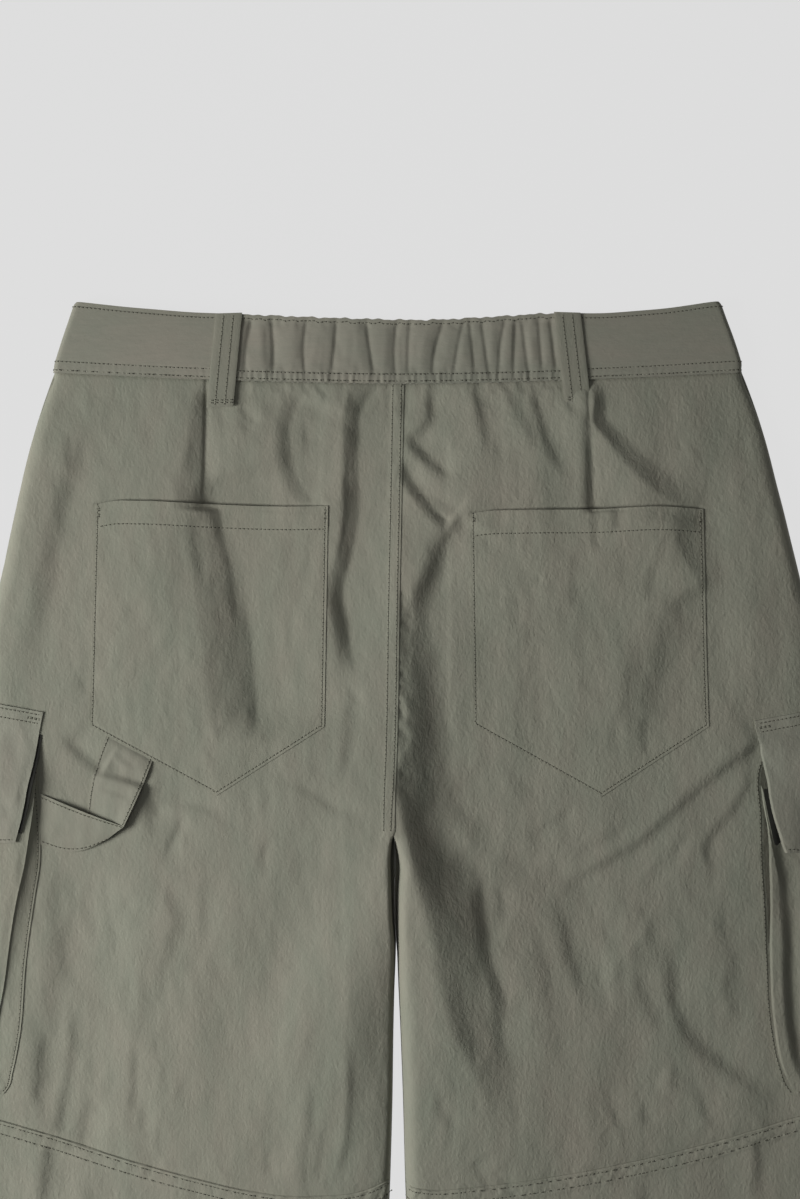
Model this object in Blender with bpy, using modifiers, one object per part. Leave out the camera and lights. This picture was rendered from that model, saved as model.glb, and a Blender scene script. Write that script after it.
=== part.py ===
"""Cargo pants laid flat on their front, back upwards: each cut piece is a thin wall of cloth.

Metres, +Z up, +Y towards the waist, +X towards the wearer's right. The floor is z = 0.
"""

import collections
import math

import bmesh
import bpy
from mathutils import Vector

# Cloth
WALL = 0.001
BAND_WALL = 0.002
GAP = 0.0003
LAYER = WALL + GAP

# Folded edges: the outer radius of the cloth at a side or an inside leg, and round the band's ends
FOLD_RADIUS = 0.002
BAND_RADIUS = 0.00275
FOLD_HEIGHT = 2 * FOLD_RADIUS + GAP
BAND_HEIGHT = 2 * BAND_RADIUS

# The front lies on the floor, and is lifted by what lies under it
CARGO_LIFT = 3 * LAYER
WAIST_LIFT = 0.0015
LIFT_START = 0.47
LIFT_END = 0.60
WAIST_LIFT_FROM = 0.43
WAIST_LIFT_OVER = 0.04
CARGO_LIFT_TOP = 0.294
CARGO_LIFT_TOP_END = 0.320
CARGO_LIFT_BOTTOM = 0.056
CARGO_LIFT_BOTTOM_END = -0.050

# Waist
WAIST_Y = 0.503
WAIST_SEAM_MIDDLE = 0.4994
WAIST_SEAM_RISE = 0.0069
WAIST_HALF = 0.215
BAND_TOP_MIDDLE = 0.5394
BAND_TOP_RISE = 0.0106
BAND_TOP_HALF = 0.2012
FRONT_DIP = 0.012
BAND_JOIN_LEFT = -0.103
BAND_JOIN_RIGHT = 0.105
BAND_COLUMNS = (0.130, 0.160, 0.190)

# Knee seam of the back: its height at the outside, how far it drops, and its rise to the inside leg
KNEE_Y = 0.0175
KNEE_OUTSIDE = 0.0463
KNEE_DROP = 0.054
KNEE_LOWEST = 0.79
KNEE_TURN = 0.85
KNEE_INSIDE_RISE = 0.011

# One row for each section from waist to hem. outer: half width of the garment; centre: where the
# seat seam or the gap between the legs is; gap: half the gap there; curl: 1 where an inside leg
# folds; waist and knee: how much of the waist's and the knee seam's curve the section takes
Section = collections.namedtuple("Section", "y outer centre gap curl waist knee")
SECTIONS = (
    Section(WAIST_Y, 0.2152, 0.0044, 0.00015, 0, 1.0, 0.0),
    Section(0.470, 0.2277, 0.0038, 0.00015, 0, 0.0, 0.0),
    Section(0.431, 0.2380, 0.0030, 0.00015, 0, 0.0, 0.0),
    Section(0.390, 0.2475, 0.0022, 0.00015, 0, 0.0, 0.0),
    Section(0.350, 0.2565, 0.0014, 0.00015, 0, 0.0, 0.0),
    Section(0.320, 0.2610, 0.0009, 0.00015, 0, 0.0, 0.0),
    Section(0.294, 0.2645, 0.0004, 0.00015, 0, 0.0, 0.0),
    Section(0.272, 0.2668, 0.0000, 0.00015, 0, 0.0, 0.0),
    Section(0.240, 0.2698, -0.0004, 0.00015, 0, 0.0, 0.0),
    Section(0.2125, 0.2717, -0.0006, 0.00015, 0.0, 0.0, 0.0),
    Section(0.2075, 0.2720, -0.0008, 0.00060, 0.2, 0.0, 0.0),
    Section(0.196, 0.2726, -0.0010, 0.0010, 0.6, 0.0, 0.0),
    Section(0.180, 0.2733, -0.0012, 0.0013, 1, 0.0, 0.0),
    Section(0.135, 0.2750, -0.0010, 0.0016, 1, 0.0, 0.0),
    Section(0.095, 0.2755, -0.0006, 0.0024, 1, 0.0, 0.0),
    Section(0.056, 0.2755, -0.0001, 0.0034, 1, 0.0, 0.0),
    Section(0.036, 0.2753, 0.0002, 0.0040, 1, 0.0, 0.5),
    Section(KNEE_Y, 0.2750, 0.0004, 0.0046, 1, 0.0, 1.0),
    Section(-0.010, 0.2740, 0.0006, 0.0055, 1, 0.0, 0.5),
    Section(-0.050, 0.2720, 0.0006, 0.0075, 1, 0.0, 0.0),
    Section(-0.130, 0.2680, 0.0000, 0.0110, 1, 0.0, 0.0),
    Section(-0.230, 0.2630, 0.0000, 0.0155, 1, 0.0, 0.0),
    Section(-0.340, 0.2580, 0.0000, 0.0195, 1, 0.0, 0.0),
    Section(-0.450, 0.2540, 0.0000, 0.0230, 1, 0.0, 0.0),
    Section(-0.525, 0.2520, 0.0000, 0.0245, 1, 0.0, 0.0),
    Section(-0.550, 0.2520, 0.0000, 0.0250, 1, 0.0, 0.0),
)
KNEE_ROW = 17
POCKET_TOP_ROW = 7
POCKET_BOTTOM_ROW = 15
FLAP_TOP_ROW = 6
FLAP_BOTTOM_ROW = 9

# Columns of a panel: the outside fold's angles, fractions of the width, the inside fold's angles.
# A fold's corners stand outside its circle, so that its first facet is upright and its last flat.
FOLD_ANGLES = (0, 15, 45, 75)
CORNER = 1 / math.cos(math.radians(15))
FLAT_SPREAD = 0.005
ACROSS = (0.05, 0.11, 0.18, 0.28, 0.38, 0.47, 0.60, 0.72, 0.86)
OUTSIDE = [("outside", angle) for angle in FOLD_ANGLES]
MIDDLE = [("across", fraction) for fraction in ACROSS]
INSIDE = [("inside", angle) for angle in reversed(FOLD_ANGLES)]
COLUMNS = OUTSIDE + MIDDLE + INSIDE
CARGO_BACK_COLUMNS = OUTSIDE + MIDDLE[:4]
CARGO_FRONT_COLUMNS = OUTSIDE[1:] + MIDDLE[:6]
GUSSET_STRIP = 2

# The largest folds of the back. height: above the panel, or below it where it is negative
Fold = collections.namedtuple("Fold", "name x0 y0 x1 y1 width height")
FOLDS = (
    Fold("left of the seat seam", -0.027, 0.500, -0.034, 0.320, 0.024, -0.0017),
    Fold("through the left pocket", -0.112, 0.410, -0.102, 0.280, 0.040, -0.0012),
    Fold("left side", -0.199, 0.480, -0.222, 0.350, 0.024, 0.0014),
    Fold("left thigh", -0.172, 0.200, -0.165, 0.100, 0.045, 0.0024),
    Fold("left inside leg", -0.025, 0.170, -0.035, 0.040, 0.030, 0.0018),
    Fold("right of the seat seam", 0.036, 0.340, 0.024, 0.240, 0.030, 0.0022),
    Fold("across the right thigh", 0.200, 0.270, 0.110, 0.180, 0.040, 0.0026),
    Fold("above the right knee", 0.170, 0.140, 0.220, 0.070, 0.035, -0.0015),
    Fold("left shin", -0.190, -0.080, -0.130, -0.210, 0.050, 0.0024),
    Fold("left ankle", -0.090, -0.330, -0.170, -0.450, 0.050, 0.0020),
    Fold("right shin", 0.110, -0.070, 0.170, -0.220, 0.050, 0.0024),
    Fold("right ankle", 0.190, -0.320, 0.110, -0.430, 0.050, 0.0020),
)
FOLD_FADE_OUTSIDE = 0.10
FOLD_FADE_INSIDE = 0.08
FOLD_FADE_WAIST = 0.470

# Gathers of the elastic, from left to right
Gather = collections.namedtuple("Gather", "x depth")
GATHERS = (
    Gather(-0.094, 0.0006),
    Gather(-0.079, 0.0012),
    Gather(-0.058, 0.0008),
    Gather(-0.041, 0.0007),
    Gather(-0.018, 0.0011),
    Gather(-0.002, 0.0006),
    Gather(0.009, 0.0008),
    Gather(0.024, 0.0012),
    Gather(0.043, 0.0007),
    Gather(0.058, 0.0009),
    Gather(0.073, 0.0008),
    Gather(0.088, 0.0010),
    Gather(0.099, 0.0006),
)

# Patch pockets, as plan outlines
BACK_POCKETS = {
    "left": (
        (-0.1888, 0.4238),
        (-0.0431, 0.4225),
        (-0.0453, 0.2850),
        (-0.1125, 0.2422),
        (-0.1922, 0.2850),
    ),
    "right": (
        (0.0456, 0.4181),
        (0.1913, 0.4210),
        (0.1950, 0.2850),
        (0.1278, 0.2409),
        (0.0475, 0.2856),
    ),
}
TOOL_LOOP = (
    (-0.2215, 0.2430),
    (-0.1930, 0.2325),
    (-0.1925, 0.2420),
    (-0.1820, 0.2755),
    (-0.1535, 0.2610),
    (-0.1620, 0.2450),
    (-0.1672, 0.2262),
    (-0.1706, 0.2225),
    (-0.1838, 0.2138),
    (-0.2063, 0.2068),
    (-0.2200, 0.2098),
)

# Cargo pockets: the back edges of the flap, the bellows and the face, as lines from top to bottom
FLAP_EDGE = ((0.2216, 0.2940), (0.2385, 0.2125))
BELLOWS_EDGE = ((0.2240, 0.2720), (0.2275, 0.0560))
FACE_EDGE = ((0.2255, 0.2420), (0.2480, 0.1080))

# Belt loops: middle of the top and of the bottom, and the profile as fraction of the length, height
LOOP_WIDTH = 0.017
LOOP_LENGTH = 0.058
LOOP_ABOVE_BAND = 0.001
LOOP_BACK_TOP_X = {"left": -0.1050, "right": 0.1063}
LOOP_BACK_BOTTOM_X = {"left": -0.1106, "right": 0.1131}
LOOP_FRONT_X = {"left": -0.100, "right": 0.100}
LoopRow = collections.namedtuple("LoopRow", "down lift")
LOOP_ROWS = (
    LoopRow(0.00, 0.0000),
    LoopRow(0.10, 0.0006),
    LoopRow(0.25, 0.0020),
    LoopRow(0.45, 0.0026),
    LoopRow(0.62, 0.0018),
    LoopRow(0.74, 0.0004),
    LoopRow(0.86, -0.0008),
    LoopRow(1.00, -0.0012),
)

BUTTON_RADIUS = 0.0085
BUTTON_HEIGHT = 0.0012
BUTTON_X = -0.012
BUTTON_Y = 0.507
BUTTON_SIDES = 32

SIDES = {"left": -1, "right": 1}

# Colours of the cloth, as linear red, green and blue
COLOURS = {
    "leg": (0.209, 0.212, 0.165),
    "band": (0.188, 0.184, 0.147),
    "pocket": (0.219, 0.222, 0.173),
    "flap": (0.244, 0.244, 0.197),
    "loop": (0.200, 0.200, 0.158),
    "button": (0.060, 0.058, 0.045),
}
ROUGHNESS = {"leg": 0.82, "band": 0.85, "pocket": 0.82, "flap": 0.80, "loop": 0.85, "button": 0.45}


def ramp(value, start, end):
    """0 at start, 1 at end, straight between them."""
    return min(max((value - start) / (end - start), 0.0), 1.0)


def waist_curve(x, middle, rise, half):
    """Height of a waist line that rises from the middle to the sides."""
    return middle + rise * (abs(x) / half) ** 1.6


def waist_seam(x):
    return waist_curve(x, WAIST_SEAM_MIDDLE, WAIST_SEAM_RISE, WAIST_HALF)


def band_top(x):
    return waist_curve(x, BAND_TOP_MIDDLE, BAND_TOP_RISE, BAND_TOP_HALF)


def front_dip(x, outer):
    """How much lower the waist is at the front than at the sides."""
    return FRONT_DIP * max(0.0, 1 - (x / outer) ** 2)


def knee_seam(across):
    """Height of the knee seam at a fraction of the leg's width from the outside."""
    fall = math.sin(0.5 * math.pi * min(across / KNEE_LOWEST, 1.0)) ** 1.35
    back_up = max(0.0, (across - KNEE_TURN) / (1 - KNEE_TURN)) ** 2
    return KNEE_OUTSIDE - KNEE_DROP * fall + KNEE_INSIDE_RISE * back_up


def front_lift(across, y):
    """How far the pockets and loops under it lift the front from the floor."""
    upper = 1 - ramp(y, CARGO_LIFT_TOP, CARGO_LIFT_TOP_END)
    lower = ramp(y, CARGO_LIFT_BOTTOM_END, CARGO_LIFT_BOTTOM)
    cargo = CARGO_LIFT * min(upper, lower) * (1 - ramp(across, LIFT_START, LIFT_END))
    waist = WAIST_LIFT * ramp(y, WAIST_LIFT_FROM, WAIST_LIFT_FROM + WAIST_LIFT_OVER)
    return max(cargo, waist)


def fold_height(x, y):
    """Sum of the soft ridges and troughs of the large folds."""
    total = 0.0
    for fold in FOLDS:
        along = Vector((fold.x1 - fold.x0, fold.y1 - fold.y0))
        place = Vector((x - fold.x0, y - fold.y0))
        nearest = along * min(max(place.dot(along) / along.length_squared, 0.0), 1.0)
        total += fold.height * math.exp(-(((place - nearest).length / fold.width) ** 2))
    return total


def fold_corner(radius, angle):
    """How far in from the edge a fold's corner is, and how far up from its middle."""
    reach = radius * (CORNER if angle else 1.0)
    return radius - reach * math.cos(math.radians(angle)), reach * math.sin(math.radians(angle))


def panel_point(side, layer, section, column):
    """A point of the outer face of a front or a back, on one section and one column."""
    kind, value = column
    outer = side * section.outer
    inner = section.centre + side * section.gap
    inward, round_fold = fold_corner(FOLD_RADIUS, value)
    if kind == "outside":
        across = 0.0
        x = outer - side * inward
    elif kind == "inside":
        across = 1.0
        spread = FLAT_SPREAD * value / FOLD_ANGLES[-1]
        x = inner + side * (spread + section.curl * (inward - spread))
    else:
        across = value
        x = outer + (inner - outer) * value
    y = section.y + section.waist * (waist_seam(x) - GAP - WAIST_Y)
    if layer == "back":
        y += section.knee * (knee_seam(across) - KNEE_Y)
    else:
        y -= section.waist * front_dip(x, section.outer)
    lift = front_lift(across, y)
    if layer == "back":
        folded = lift + FOLD_RADIUS + GAP + round_fold
        fade = ramp(across, 0.0, FOLD_FADE_OUTSIDE) * ramp(y, WAIST_Y, FOLD_FADE_WAIST)
        if section.curl:
            fade *= ramp(1 - across, 0.0, FOLD_FADE_INSIDE)
        flat = lift + FOLD_HEIGHT + fade * fold_height(x, y)
    else:
        folded = lift + FOLD_RADIUS - round_fold
        flat = lift
    curl = {"outside": 1.0, "inside": section.curl, "across": 0.0}[kind]
    return Vector((x, y, flat + curl * (folded - flat)))


def surface(rows, flip):
    """An open mesh of triangles through rows of points."""
    mesh = bmesh.new()
    grid = [[mesh.verts.new(point) for point in row] for row in rows]
    for upper, lower in zip(grid, grid[1:]):
        for a, b, c, d in zip(upper, upper[1:], lower[1:], lower):
            for corners in ((a, b, c), (a, c, d)):
                mesh.faces.new(corners[::-1] if flip else corners)
    mesh.normal_update()
    return mesh


def panel_surface(side, layer, sections):
    rows = [[panel_point(side, layer, s, column) for column in COLUMNS] for s in sections]
    return surface(rows, flip=(side < 0) != (layer == "front"))


def keep_below(mesh, point, outward):
    """Cuts away what lies beyond a plane."""
    everything = mesh.verts[:] + mesh.edges[:] + mesh.faces[:]
    bmesh.ops.bisect_plane(
        mesh, geom=everything, dist=1e-7, plane_co=point, plane_no=outward, clear_outer=True
    )


def cut(mesh, point, across):
    """Cuts the faces along a plane and keeps both sides."""
    everything = mesh.verts[:] + mesh.edges[:] + mesh.faces[:]
    bmesh.ops.bisect_plane(mesh, geom=everything, dist=1e-7, plane_co=point, plane_no=across)


def is_inside(point, outline):
    """Whether a plan point is inside an outline, by counting the edges to its right."""
    inside = False
    for (x0, y0), (x1, y1) in zip(outline, outline[1:] + outline[:1]):
        if (y0 > point.y) != (y1 > point.y):
            if point.x < x0 + (point.y - y0) * (x1 - x0) / (y1 - y0):
                inside = not inside
    return inside


def cut_to_outline(mesh, outline):
    """Cuts a surface along the edges of a plan outline, and keeps what is inside."""
    xs = [x for x, _ in outline]
    ys = [y for _, y in outline]
    keep_below(mesh, (min(xs), 0, 0), (-1, 0, 0))
    keep_below(mesh, (max(xs), 0, 0), (1, 0, 0))
    keep_below(mesh, (0, min(ys), 0), (0, -1, 0))
    keep_below(mesh, (0, max(ys), 0), (0, 1, 0))
    for (x0, y0), (x1, y1) in zip(outline, outline[1:] + outline[:1]):
        cut(mesh, (x0, y0, 0), (y1 - y0, x0 - x1, 0))
    outside = [f for f in mesh.faces if not is_inside(f.calc_center_median(), outline)]
    bmesh.ops.delete(mesh, geom=outside, context="FACES")


def move_out(mesh, distance_at):
    """Moves a surface out along its normals, by a distance that may change with y."""
    mesh.normal_update()
    moves = [v.normal * v.calc_shell_factor() * distance_at(v.co.y) for v in mesh.verts]
    for vert, move in zip(mesh.verts, moves):
        vert.co += move


def material(name, kind):
    made = bpy.data.materials.new(name)
    made.use_nodes = True
    shader = made.node_tree.nodes["Principled BSDF"]
    shader.inputs["Base Color"].default_value = (*COLOURS[kind], 1.0)
    shader.inputs["Roughness"].default_value = ROUGHNESS[kind]
    shader.inputs["Metallic"].default_value = 0.0
    return made


def add_piece(name, kind, mesh, thickness, outwards=False):
    """Makes an object of an open surface and gives it its wall."""
    bmesh.ops.remove_doubles(mesh, verts=mesh.verts, dist=1e-6)
    data = bpy.data.meshes.new(name)
    mesh.to_mesh(data)
    mesh.free()
    piece = bpy.data.objects.new(name, data)
    pants.objects.link(piece)
    data.materials.append(material(name, kind))
    wall = piece.modifiers.new("wall", "SOLIDIFY")
    wall.thickness = thickness
    wall.offset = 1.0 if outwards else -1.0
    wall.use_even_offset = True
    return piece


def add_panels():
    """Backs above and below the knee seam, and whole fronts."""
    knee = SECTIONS[KNEE_ROW]
    below_knee = (knee._replace(y=knee.y - GAP), *SECTIONS[KNEE_ROW + 1 :])
    for name, side in SIDES.items():
        upper = panel_surface(side, "back", SECTIONS[: KNEE_ROW + 1])
        add_piece(f"back_{name}", "leg", upper, WALL)
        lower = panel_surface(side, "back", below_knee)
        add_piece(f"back_leg_{name}", "leg", lower, WALL)
        front = panel_surface(side, "front", SECTIONS)
        add_piece(f"front_{name}", "leg", front, WALL)


def add_patch(name, kind, side, outline):
    """A flat piece on the back: the panel's own faces inside its outline, lifted."""
    mesh = panel_surface(side, "back", SECTIONS[: KNEE_ROW + 1])
    cut_to_outline(mesh, outline)
    bmesh.ops.translate(mesh, verts=mesh.verts, vec=(0, 0, GAP))
    add_piece(name, kind, mesh, WALL, outwards=True)


def cargo_surface(side, top_row, bottom_row):
    """The leg's outer face round the side, from the back to the front."""
    rows = []
    for section in SECTIONS[top_row : bottom_row + 1]:
        back = [panel_point(side, "back", section, c) for c in reversed(CARGO_BACK_COLUMNS)]
        front = [panel_point(side, "front", section, c) for c in CARGO_FRONT_COLUMNS]
        rows.append(back + front)
    return surface(rows, flip=side > 0)


def trim_back_edge(mesh, side, edge, fold_top):
    """Cuts the part on the back along a line; the part under the side stays whole."""
    (x0, y0), (x1, y1) = edge
    point = Vector((side * x0, y0, 0))
    inward = Vector((side * (y1 - y0), x0 - x1, 0)).normalized()
    if inward.x * side > 0:
        inward = -inward
    on_back = [f for f in mesh.faces if f.calc_center_median().z > fold_top]
    verts = {v for f in on_back for v in f.verts}
    edges = {e for f in on_back for e in f.edges}
    bmesh.ops.bisect_plane(
        mesh,
        geom=[*verts, *edges, *on_back],
        dist=1e-7,
        plane_co=point,
        plane_no=inward,
        clear_outer=True,
    )


def add_cargo_pockets():
    """Bellows strip, face and flap on each side, one layer over another."""
    fold_top = CARGO_LIFT + FOLD_RADIUS + GAP
    front_strip = len(CARGO_BACK_COLUMNS) + len(CARGO_FRONT_COLUMNS) - 2
    for name, side in SIDES.items():
        mesh = cargo_surface(side, POCKET_TOP_ROW, POCKET_BOTTOM_ROW)
        mesh.faces.ensure_lookup_table()
        columns = len(CARGO_BACK_COLUMNS) + len(CARGO_FRONT_COLUMNS) - 1
        rows = POCKET_BOTTOM_ROW - POCKET_TOP_ROW
        inner = []
        for index, face in enumerate(mesh.faces):
            row, column = divmod(index // 2, columns)
            if row < rows - 1 and GUSSET_STRIP < column < front_strip:
                inner.append(face)
        bmesh.ops.delete(mesh, geom=inner, context="FACES")
        trim_back_edge(mesh, side, BELLOWS_EDGE, fold_top)
        move_out(mesh, lambda y: GAP)
        add_piece(f"cargo_bellows_{name}", "pocket", mesh, WALL, outwards=True)

        mesh = cargo_surface(side, POCKET_TOP_ROW, POCKET_BOTTOM_ROW)
        trim_back_edge(mesh, side, FACE_EDGE, fold_top)
        move_out(mesh, lambda y: LAYER + GAP)
        add_piece(f"cargo_pocket_{name}", "pocket", mesh, WALL, outwards=True)

        mesh = cargo_surface(side, FLAP_TOP_ROW, FLAP_BOTTOM_ROW)
        trim_back_edge(mesh, side, FLAP_EDGE, fold_top)
        pocket_top = SECTIONS[POCKET_TOP_ROW].y
        flap_top = SECTIONS[FLAP_TOP_ROW].y
        move_out(mesh, lambda y: GAP + 2 * LAYER * (1 - ramp(y, pocket_top, flap_top)))
        add_piece(f"cargo_flap_{name}", "flap", mesh, WALL, outwards=True)


def add_elastic():
    """The gathered middle of the band: a column at each gather and one between two gathers."""
    top = WAIST_LIFT + BAND_HEIGHT
    columns = [(BAND_JOIN_LEFT + GAP, 0.0)]
    for left, right in zip(GATHERS, GATHERS[1:]):
        columns.append((left.x, left.depth))
        columns.append(((left.x + right.x) / 2, 0.0))
    columns.append((GATHERS[-1].x, GATHERS[-1].depth))
    columns.append((BAND_JOIN_RIGHT - GAP, 0.0))
    rows = []
    for up in (1.0, 0.5, 0.0):
        row = []
        for x, depth in columns:
            y = waist_seam(x) + up * (band_top(x) - waist_seam(x))
            row.append(Vector((x, y, top - depth)))
        rows.append(row)
    add_piece("waistband_back", "band", surface(rows, flip=True), BAND_WALL)


def add_band_sides():
    """The smooth ends of the band, from the elastic round the side to the middle of the front."""
    middle = WAIST_LIFT + BAND_RADIUS
    for name, side in SIDES.items():
        join = abs(BAND_JOIN_LEFT if side < 0 else BAND_JOIN_RIGHT)
        rows = []
        for up in (1.0, 0.5, 0.0):
            outer = WAIST_HALF + up * (BAND_TOP_HALF - WAIST_HALF)
            outline = [(x, 1, 75) for x in (join, *BAND_COLUMNS)]
            outline += [(None, 1, angle) for angle in (75, 45, 15)]
            outline += [(None, -1, angle) for angle in (15, 45, 75)]
            outline += [(x, -1, 75) for x in (*reversed(BAND_COLUMNS), 0.090, 0.045, GAP / 2)]
            row = []
            for x, upper, angle in outline:
                inward, height = fold_corner(BAND_RADIUS, angle)
                if x is None:
                    x = outer - inward
                z = middle + upper * height
                y = waist_seam(x) + up * (band_top(x) - waist_seam(x))
                if upper < 0:
                    y -= front_dip(x, outer)
                row.append(Vector((side * x, y, z)))
            rows.append(row)
        add_piece(f"waistband_{name}", "band", surface(rows, flip=side > 0), BAND_WALL)


def add_belt_loops():
    """Strips over the band: the two at the back stand proud, the two at the front lie flat."""
    band_back = WAIST_LIFT + BAND_HEIGHT + GAP
    for name, side in SIDES.items():
        top_x = LOOP_BACK_TOP_X[name]
        bottom_x = LOOP_BACK_BOTTOM_X[name]
        top_y = band_top(top_x) + LOOP_ABOVE_BAND
        rows = []
        for row in LOOP_ROWS:
            x = top_x + row.down * (bottom_x - top_x)
            y = top_y - row.down * LOOP_LENGTH
            z = band_back + row.lift
            rows.append([Vector((x + half * LOOP_WIDTH, y, z)) for half in (-0.5, 0.5)])
        mesh = surface(rows, flip=True)
        add_piece(f"belt_loop_back_{name}", "loop", mesh, WALL, outwards=True)

        x = LOOP_FRONT_X[name]
        top_y = band_top(x) - front_dip(x, BAND_TOP_HALF)
        rows = []
        for row in LOOP_ROWS:
            y = top_y - row.down * LOOP_LENGTH
            z = WAIST_LIFT - GAP - max(row.down - 0.8, 0.0) * GAP
            rows.append([Vector((x + half * LOOP_WIDTH, y, z)) for half in (-0.5, 0.5)])
        mesh = surface(rows, flip=False)
        add_piece(f"belt_loop_front_{name}", "loop", mesh, WALL, outwards=True)


def add_button():
    mesh = bmesh.new()
    bmesh.ops.create_cone(
        mesh,
        cap_ends=True,
        segments=BUTTON_SIDES,
        radius1=BUTTON_RADIUS,
        radius2=BUTTON_RADIUS,
        depth=BUTTON_HEIGHT,
    )
    data = bpy.data.meshes.new("waist_button")
    mesh.to_mesh(data)
    mesh.free()
    button = bpy.data.objects.new("waist_button", data)
    button.location = (BUTTON_X, BUTTON_Y, BUTTON_HEIGHT / 2)
    pants.objects.link(button)
    data.materials.append(material("waist_button", "button"))
    edge = button.modifiers.new("edge", "BEVEL")
    edge.width = 0.0003
    edge.segments = 1
    edge.limit_method = "ANGLE"


for old in list(bpy.data.objects):
    bpy.data.objects.remove(old, do_unlink=True)
pants = bpy.data.collections.new("cargo_pants")
bpy.context.scene.collection.children.link(pants)
bpy.context.scene.unit_settings.system = "METRIC"
bpy.context.scene.unit_settings.scale_length = 1.0

add_panels()
for pocket_name, pocket_outline in BACK_POCKETS.items():
    add_patch(f"back_pocket_{pocket_name}", "pocket", SIDES[pocket_name], pocket_outline)
add_patch("tool_loop", "loop", SIDES["left"], TOOL_LOOP)
add_cargo_pockets()
add_elastic()
add_band_sides()
add_belt_loops()
add_button()
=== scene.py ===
# Cargo pants of washed, crinkled nylon, laid flat on their front with the back upwards.
# The sections follow the garment as it is sewn: panels, waistband, loops, pockets, button.
# Shapes are worked out in millimetres in the garment's frame: +y to the waist, +x to the right leg.
import math

import bpy
import numpy as np
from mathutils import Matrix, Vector


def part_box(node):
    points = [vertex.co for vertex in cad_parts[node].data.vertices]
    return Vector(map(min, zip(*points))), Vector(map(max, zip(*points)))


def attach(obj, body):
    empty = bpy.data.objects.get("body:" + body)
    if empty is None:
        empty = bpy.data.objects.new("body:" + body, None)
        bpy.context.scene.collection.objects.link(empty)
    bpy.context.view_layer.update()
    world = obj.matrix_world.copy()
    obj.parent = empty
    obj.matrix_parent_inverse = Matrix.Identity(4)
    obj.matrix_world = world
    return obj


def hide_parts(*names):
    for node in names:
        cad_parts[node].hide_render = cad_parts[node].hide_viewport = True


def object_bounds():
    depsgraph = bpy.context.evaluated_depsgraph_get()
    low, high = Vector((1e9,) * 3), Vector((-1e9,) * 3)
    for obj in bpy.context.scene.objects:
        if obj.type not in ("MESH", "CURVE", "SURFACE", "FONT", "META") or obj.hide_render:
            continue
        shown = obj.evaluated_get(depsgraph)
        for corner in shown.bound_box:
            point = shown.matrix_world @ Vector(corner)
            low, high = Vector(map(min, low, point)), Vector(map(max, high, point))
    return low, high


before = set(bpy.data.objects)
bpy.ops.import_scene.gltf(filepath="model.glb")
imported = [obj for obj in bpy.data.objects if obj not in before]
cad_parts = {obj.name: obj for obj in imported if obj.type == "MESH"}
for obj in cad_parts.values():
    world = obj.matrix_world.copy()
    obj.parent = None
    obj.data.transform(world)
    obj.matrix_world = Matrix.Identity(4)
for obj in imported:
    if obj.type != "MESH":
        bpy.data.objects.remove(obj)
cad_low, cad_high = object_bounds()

# ------------------------------------------------------------------------------------------------
# Studio: a pale table that glows evenly, one large soft light low on the left towards the waist,
# a weak soft light overhead, and a camera that looks straight down.
# ------------------------------------------------------------------------------------------------
METRES = 0.001

scene = bpy.context.scene
scene.view_settings.view_transform = "Standard"

CAMERA_HEIGHT = 1.777
CAMERA_RIGHT = 0.0019
CAMERA_BELOW_WAIST = 0.1856
camera_data = bpy.data.cameras.new("camera")
camera_data.lens = 85
camera_data.sensor_width = 36
camera = bpy.data.objects.new("camera", camera_data)
camera.location = (CAMERA_RIGHT, cad_high.y - CAMERA_BELOW_WAIST, CAMERA_HEIGHT)
scene.collection.objects.link(camera)
scene.camera = camera


def soft_light(name, place, target, size, power):
    """A square area light at a place, turned to face its target."""
    data = bpy.data.lights.new(name, "AREA")
    data.size = size
    data.energy = power
    light = bpy.data.objects.new(name, data)
    light.location = place
    light.rotation_euler = (Vector(target) - Vector(place)).to_track_quat("-Z", "Y").to_euler()
    scene.collection.objects.link(light)


soft_light("key", (-1.50, 0.10, 0.85), (0.05, 0.20, 0.0), 0.70, 38.8)
soft_light("overhead", (-0.5, 0.4, 2.6), (-0.10, 0.20, 0.0), 1.6, 7)

world = bpy.data.worlds.new("studio")
world.use_nodes = True
sky = world.node_tree.nodes["Background"].inputs
sky["Color"].default_value = (0.96, 0.98, 1.0, 1)
sky["Strength"].default_value = 0.10
scene.world = world

table_surface = bpy.data.materials.new("table")
table_surface.use_nodes = True
table_shader = table_surface.node_tree.nodes["Principled BSDF"]
table_shader.inputs["Base Color"].default_value = (0.02, 0.02, 0.02, 1)
table_shader.inputs["Roughness"].default_value = 0.9
table_shader.inputs["Specular IOR Level"].default_value = 0.0
table_shader.inputs["Emission Color"].default_value = (1.0, 1.0, 1.0, 1)
table_shader.inputs["Emission Strength"].default_value = 0.712

TABLE_HALF = 4.0
TABLE_DROP = 0.0004
table_mesh = bpy.data.meshes.new("table")
table_corners = [(x * TABLE_HALF, y * TABLE_HALF, cad_low.z - TABLE_DROP)
                 for x, y in ((-1, -1), (1, -1), (1, 1), (-1, 1))]
table_mesh.from_pydata(table_corners, [], [(0, 1, 2, 3)])
table_mesh.materials.append(table_surface)
table = bpy.data.objects.new("table", table_mesh)
scene.collection.objects.link(table)

# ------------------------------------------------------------------------------------------------
# Leg cloth: a plain weave of fine nylon, washed and left crinkled, matt, of an uneven green grey.
# The material has slubs and streaks along the thread, patches of a warmer and a greener dye, and
# crinkles too fine for the mesh.
# ------------------------------------------------------------------------------------------------


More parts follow.
